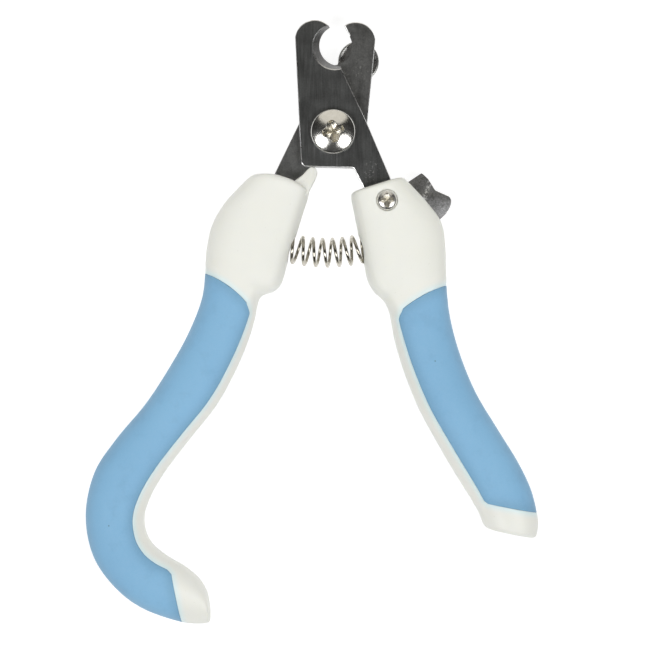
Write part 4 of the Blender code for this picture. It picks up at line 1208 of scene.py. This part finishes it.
def spring_open_turns():
    """Turn numbers between which the spring's coils stand apart."""
    margin = SPRING_WIRE / 2 + SPRING_CLOSED_PITCH
    first = (SPRING_ENDS[0] + margin - SPRING_PHASE_X) / SPRING_PITCH
    last = (SPRING_ENDS[1] - margin - SPRING_PHASE_X) / SPRING_PITCH
    return first, last


def spring_point(angle):
    """Point of the spring's wire; the end turns lie closed against the pockets."""
    turns = angle / (2 * pi)
    first, last = spring_open_turns()
    nearest = min(max(turns, first), last)
    x = SPRING_PHASE_X + SPRING_PITCH * nearest + SPRING_CLOSED_PITCH * (turns - nearest)
    y, slope = spring_axis(x)
    normal = Vector((-slope, 1.0)).normalized() * SPRING_RADIUS * cos(angle)
    return x + normal.x, y + normal.y, SEAM_Z + SPRING_RADIUS * sin(angle)


def build_spring(steel):
    """Coil spring between the two housings."""
    curve = bpy.data.curves.new("return_spring_wire", "CURVE")
    curve.dimensions = "3D"
    curve.bevel_depth = SPRING_WIRE / 2 * MM
    curve.bevel_resolution = 3
    curve.use_fill_caps = True
    first, last = spring_open_turns()
    first -= 1
    last += 1
    count = round((last - first) * SPRING_POINTS_PER_TURN)
    spline = curve.splines.new("POLY")
    spline.points.add(count)
    for k, point in enumerate(spline.points):
        x, y, z = spring_point(2 * pi * (first + (last - first) * k / count))
        point.co = (x * MM, y * MM, z * MM, 1.0)
    source = add_object("spring_source", curve)
    bm = bmesh.new()
    bm.from_mesh(evaluated_mesh(source))
    bmesh.ops.remove_doubles(bm, verts=bm.verts, dist=1e-7)
    bpy.data.objects.remove(source, do_unlink=True)
    spring = mesh_object("return_spring_coiled", bm)
    shade(spring, steel, SHARP_SOFT_ANGLE)
    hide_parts("return_spring")
    y = SPRING_END_Y * MM
    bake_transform(spring)


def dress_hidden_nodes(nickel):
    """The pieces sealed inside keep the frame's meshes and get the plating."""
    for name in ("left_tang_pin_upper", "left_tang_pin_lower", "right_tang_pin", "guard_washer"):
        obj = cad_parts[name]
        shade(obj, nickel, SHARP_HIDDEN_ANGLE)


# ---------------------------------------------------------------- studio

def build_floor():
    """Plain pale floor that glows a little, as on a light table."""
    bm = bmesh.new()
    bmesh.ops.create_grid(bm, x_segments=2, y_segments=2, size=FLOOR_SIZE)
    mesh = bpy.data.meshes.new("floor")
    bm.to_mesh(mesh)
    bm.free()
    floor = add_object("floor", mesh)
    floor.location.z = -FLOOR_DROP
    mesh.materials.append(surface("pale_floor").finish(
        Base_Color=(0.36, 0.36, 0.36, 1.0), Roughness=0.8, Specular_IOR_Level=0.0,
        Emission_Color=(1.0, 1.0, 1.0, 1.0), Emission_Strength=0.86))


def softbox(name, azimuth, tilt, distance, size, power, colour):
    """Oval light that faces the trimmer; azimuth from +X, tilt from straight up, in degrees."""
    light = bpy.data.lights.new(name, "AREA")
    light.shape = "ELLIPSE"
    light.size, light.size_y = size
    light.energy = power
    light.color = colour
    obj = add_object(name, light)
    a = radians(azimuth)
    e = radians(tilt)
    out = Vector((cos(a) * sin(e), sin(a) * sin(e), cos(e)))
    obj.location = STUDIO_AIM + out * distance
    obj.rotation_mode = "QUATERNION"
    obj.rotation_quaternion = (-out).to_track_quat("-Z", "Y")
    obj.visible_camera = False
    return obj


def build_world():
    """Studio surroundings: pale at the horizon and dim overhead, where the camera stands."""
    world = bpy.data.worlds.new("studio")
    bpy.context.scene.world = world
    s = Nodes(world, "Generated")
    shade_share = s.ramp(s.axis(s.at, 2), 0.04, 0.22, 0.62, 0.02)
    background = s.tree.nodes["Background"]
    s.put(background.inputs["Color"], s.mix(shade_share, (0.0, 0.0, 0.0), (1.0, 1.0, 0.985)))
    background.inputs["Strength"].default_value = 1.0


def build_camera():
    """Camera straight above the trimmer."""
    scene = bpy.context.scene
    camera = bpy.data.cameras.new("camera")
    camera.lens = 150.0
    camera.sensor_width = 36.0
    camera.clip_start = 0.05
    camera.clip_end = 20.0
    scene.camera = add_object("camera", camera)
    distance = VIEW_WIDTH * camera.lens / camera.sensor_width
    scene.camera.location = (*CAMERA_PLACE, CAMERA_SUBJECT_HEIGHT + distance)
    scene.view_settings.view_transform = "Standard"


def build_studio(handle_pieces):
    """Floor, lights, world and camera; the overhead fill lights the handles and not the steel."""
    lit_handles = bpy.data.collections.new("lit_handles")
    for piece in handle_pieces:
        lit_handles.objects.link(piece)
    build_floor()
    build_world()
    for name, azimuth in (("key_left", 213.0), ("key_right", 327.0)):
        softbox(name, azimuth, 33.0, 1.2, (0.55, 0.55), 4.6, (1.0, 1.0, 0.995))
    softbox("top_card", 90.0, 49.0, 0.80, (0.95, 0.86), 1.45, (1.0, 0.96, 0.87))
    fill = softbox("handle_fill", 90.0, 4.0, 0.9, (0.35, 0.35), 2.0, (1.0, 1.0, 0.99))
    fill.light_linking.receiver_collection = lit_handles
    build_camera()


def main():
    """Build every piece and the studio."""
    plastic = handle_plastic()
    rubber = grip_rubber()
    nickel = plated_steel("plated_steel", 0.14, 0.24)
    build_studio(build_left_handle(plastic, rubber) + build_right_handle(plastic, rubber))
    front_steel = blade_steel("front_blade_steel", (0.155, 0.16, 0.16), brush_degrees=0.0,
                              worn_place=(11.5, -11.0, 9.6), worn_reach=5.0, mottle=0.15)
    rear_steel = blade_steel("rear_blade_steel", (0.29, 0.292, 0.29), brush_degrees=8.0,
                             worn_place=(5.5, 15.0, 6.9), worn_reach=6.0, mottle=0.5)
    build_blades(front_steel, rear_steel, ground_steel(), worn_edge_steel())
    build_guard(guard_steel())
    build_lever(pressed_steel())
    pivot_recess = ((0.0, 0.0, 12.45), 3.2)
    lock_recess = ((*LOCK_AXIS, 15.15), 1.95)
    build_fasteners(plated_steel("pivot_screw_plating", 0.16, 0.22, pivot_recess),
                    plated_steel("lock_screw_plating", 0.24, 0.32, lock_recess), nickel,
                    washer_brass())
    build_spring(spring_steel())
    dress_hidden_nodes(nickel)


main()
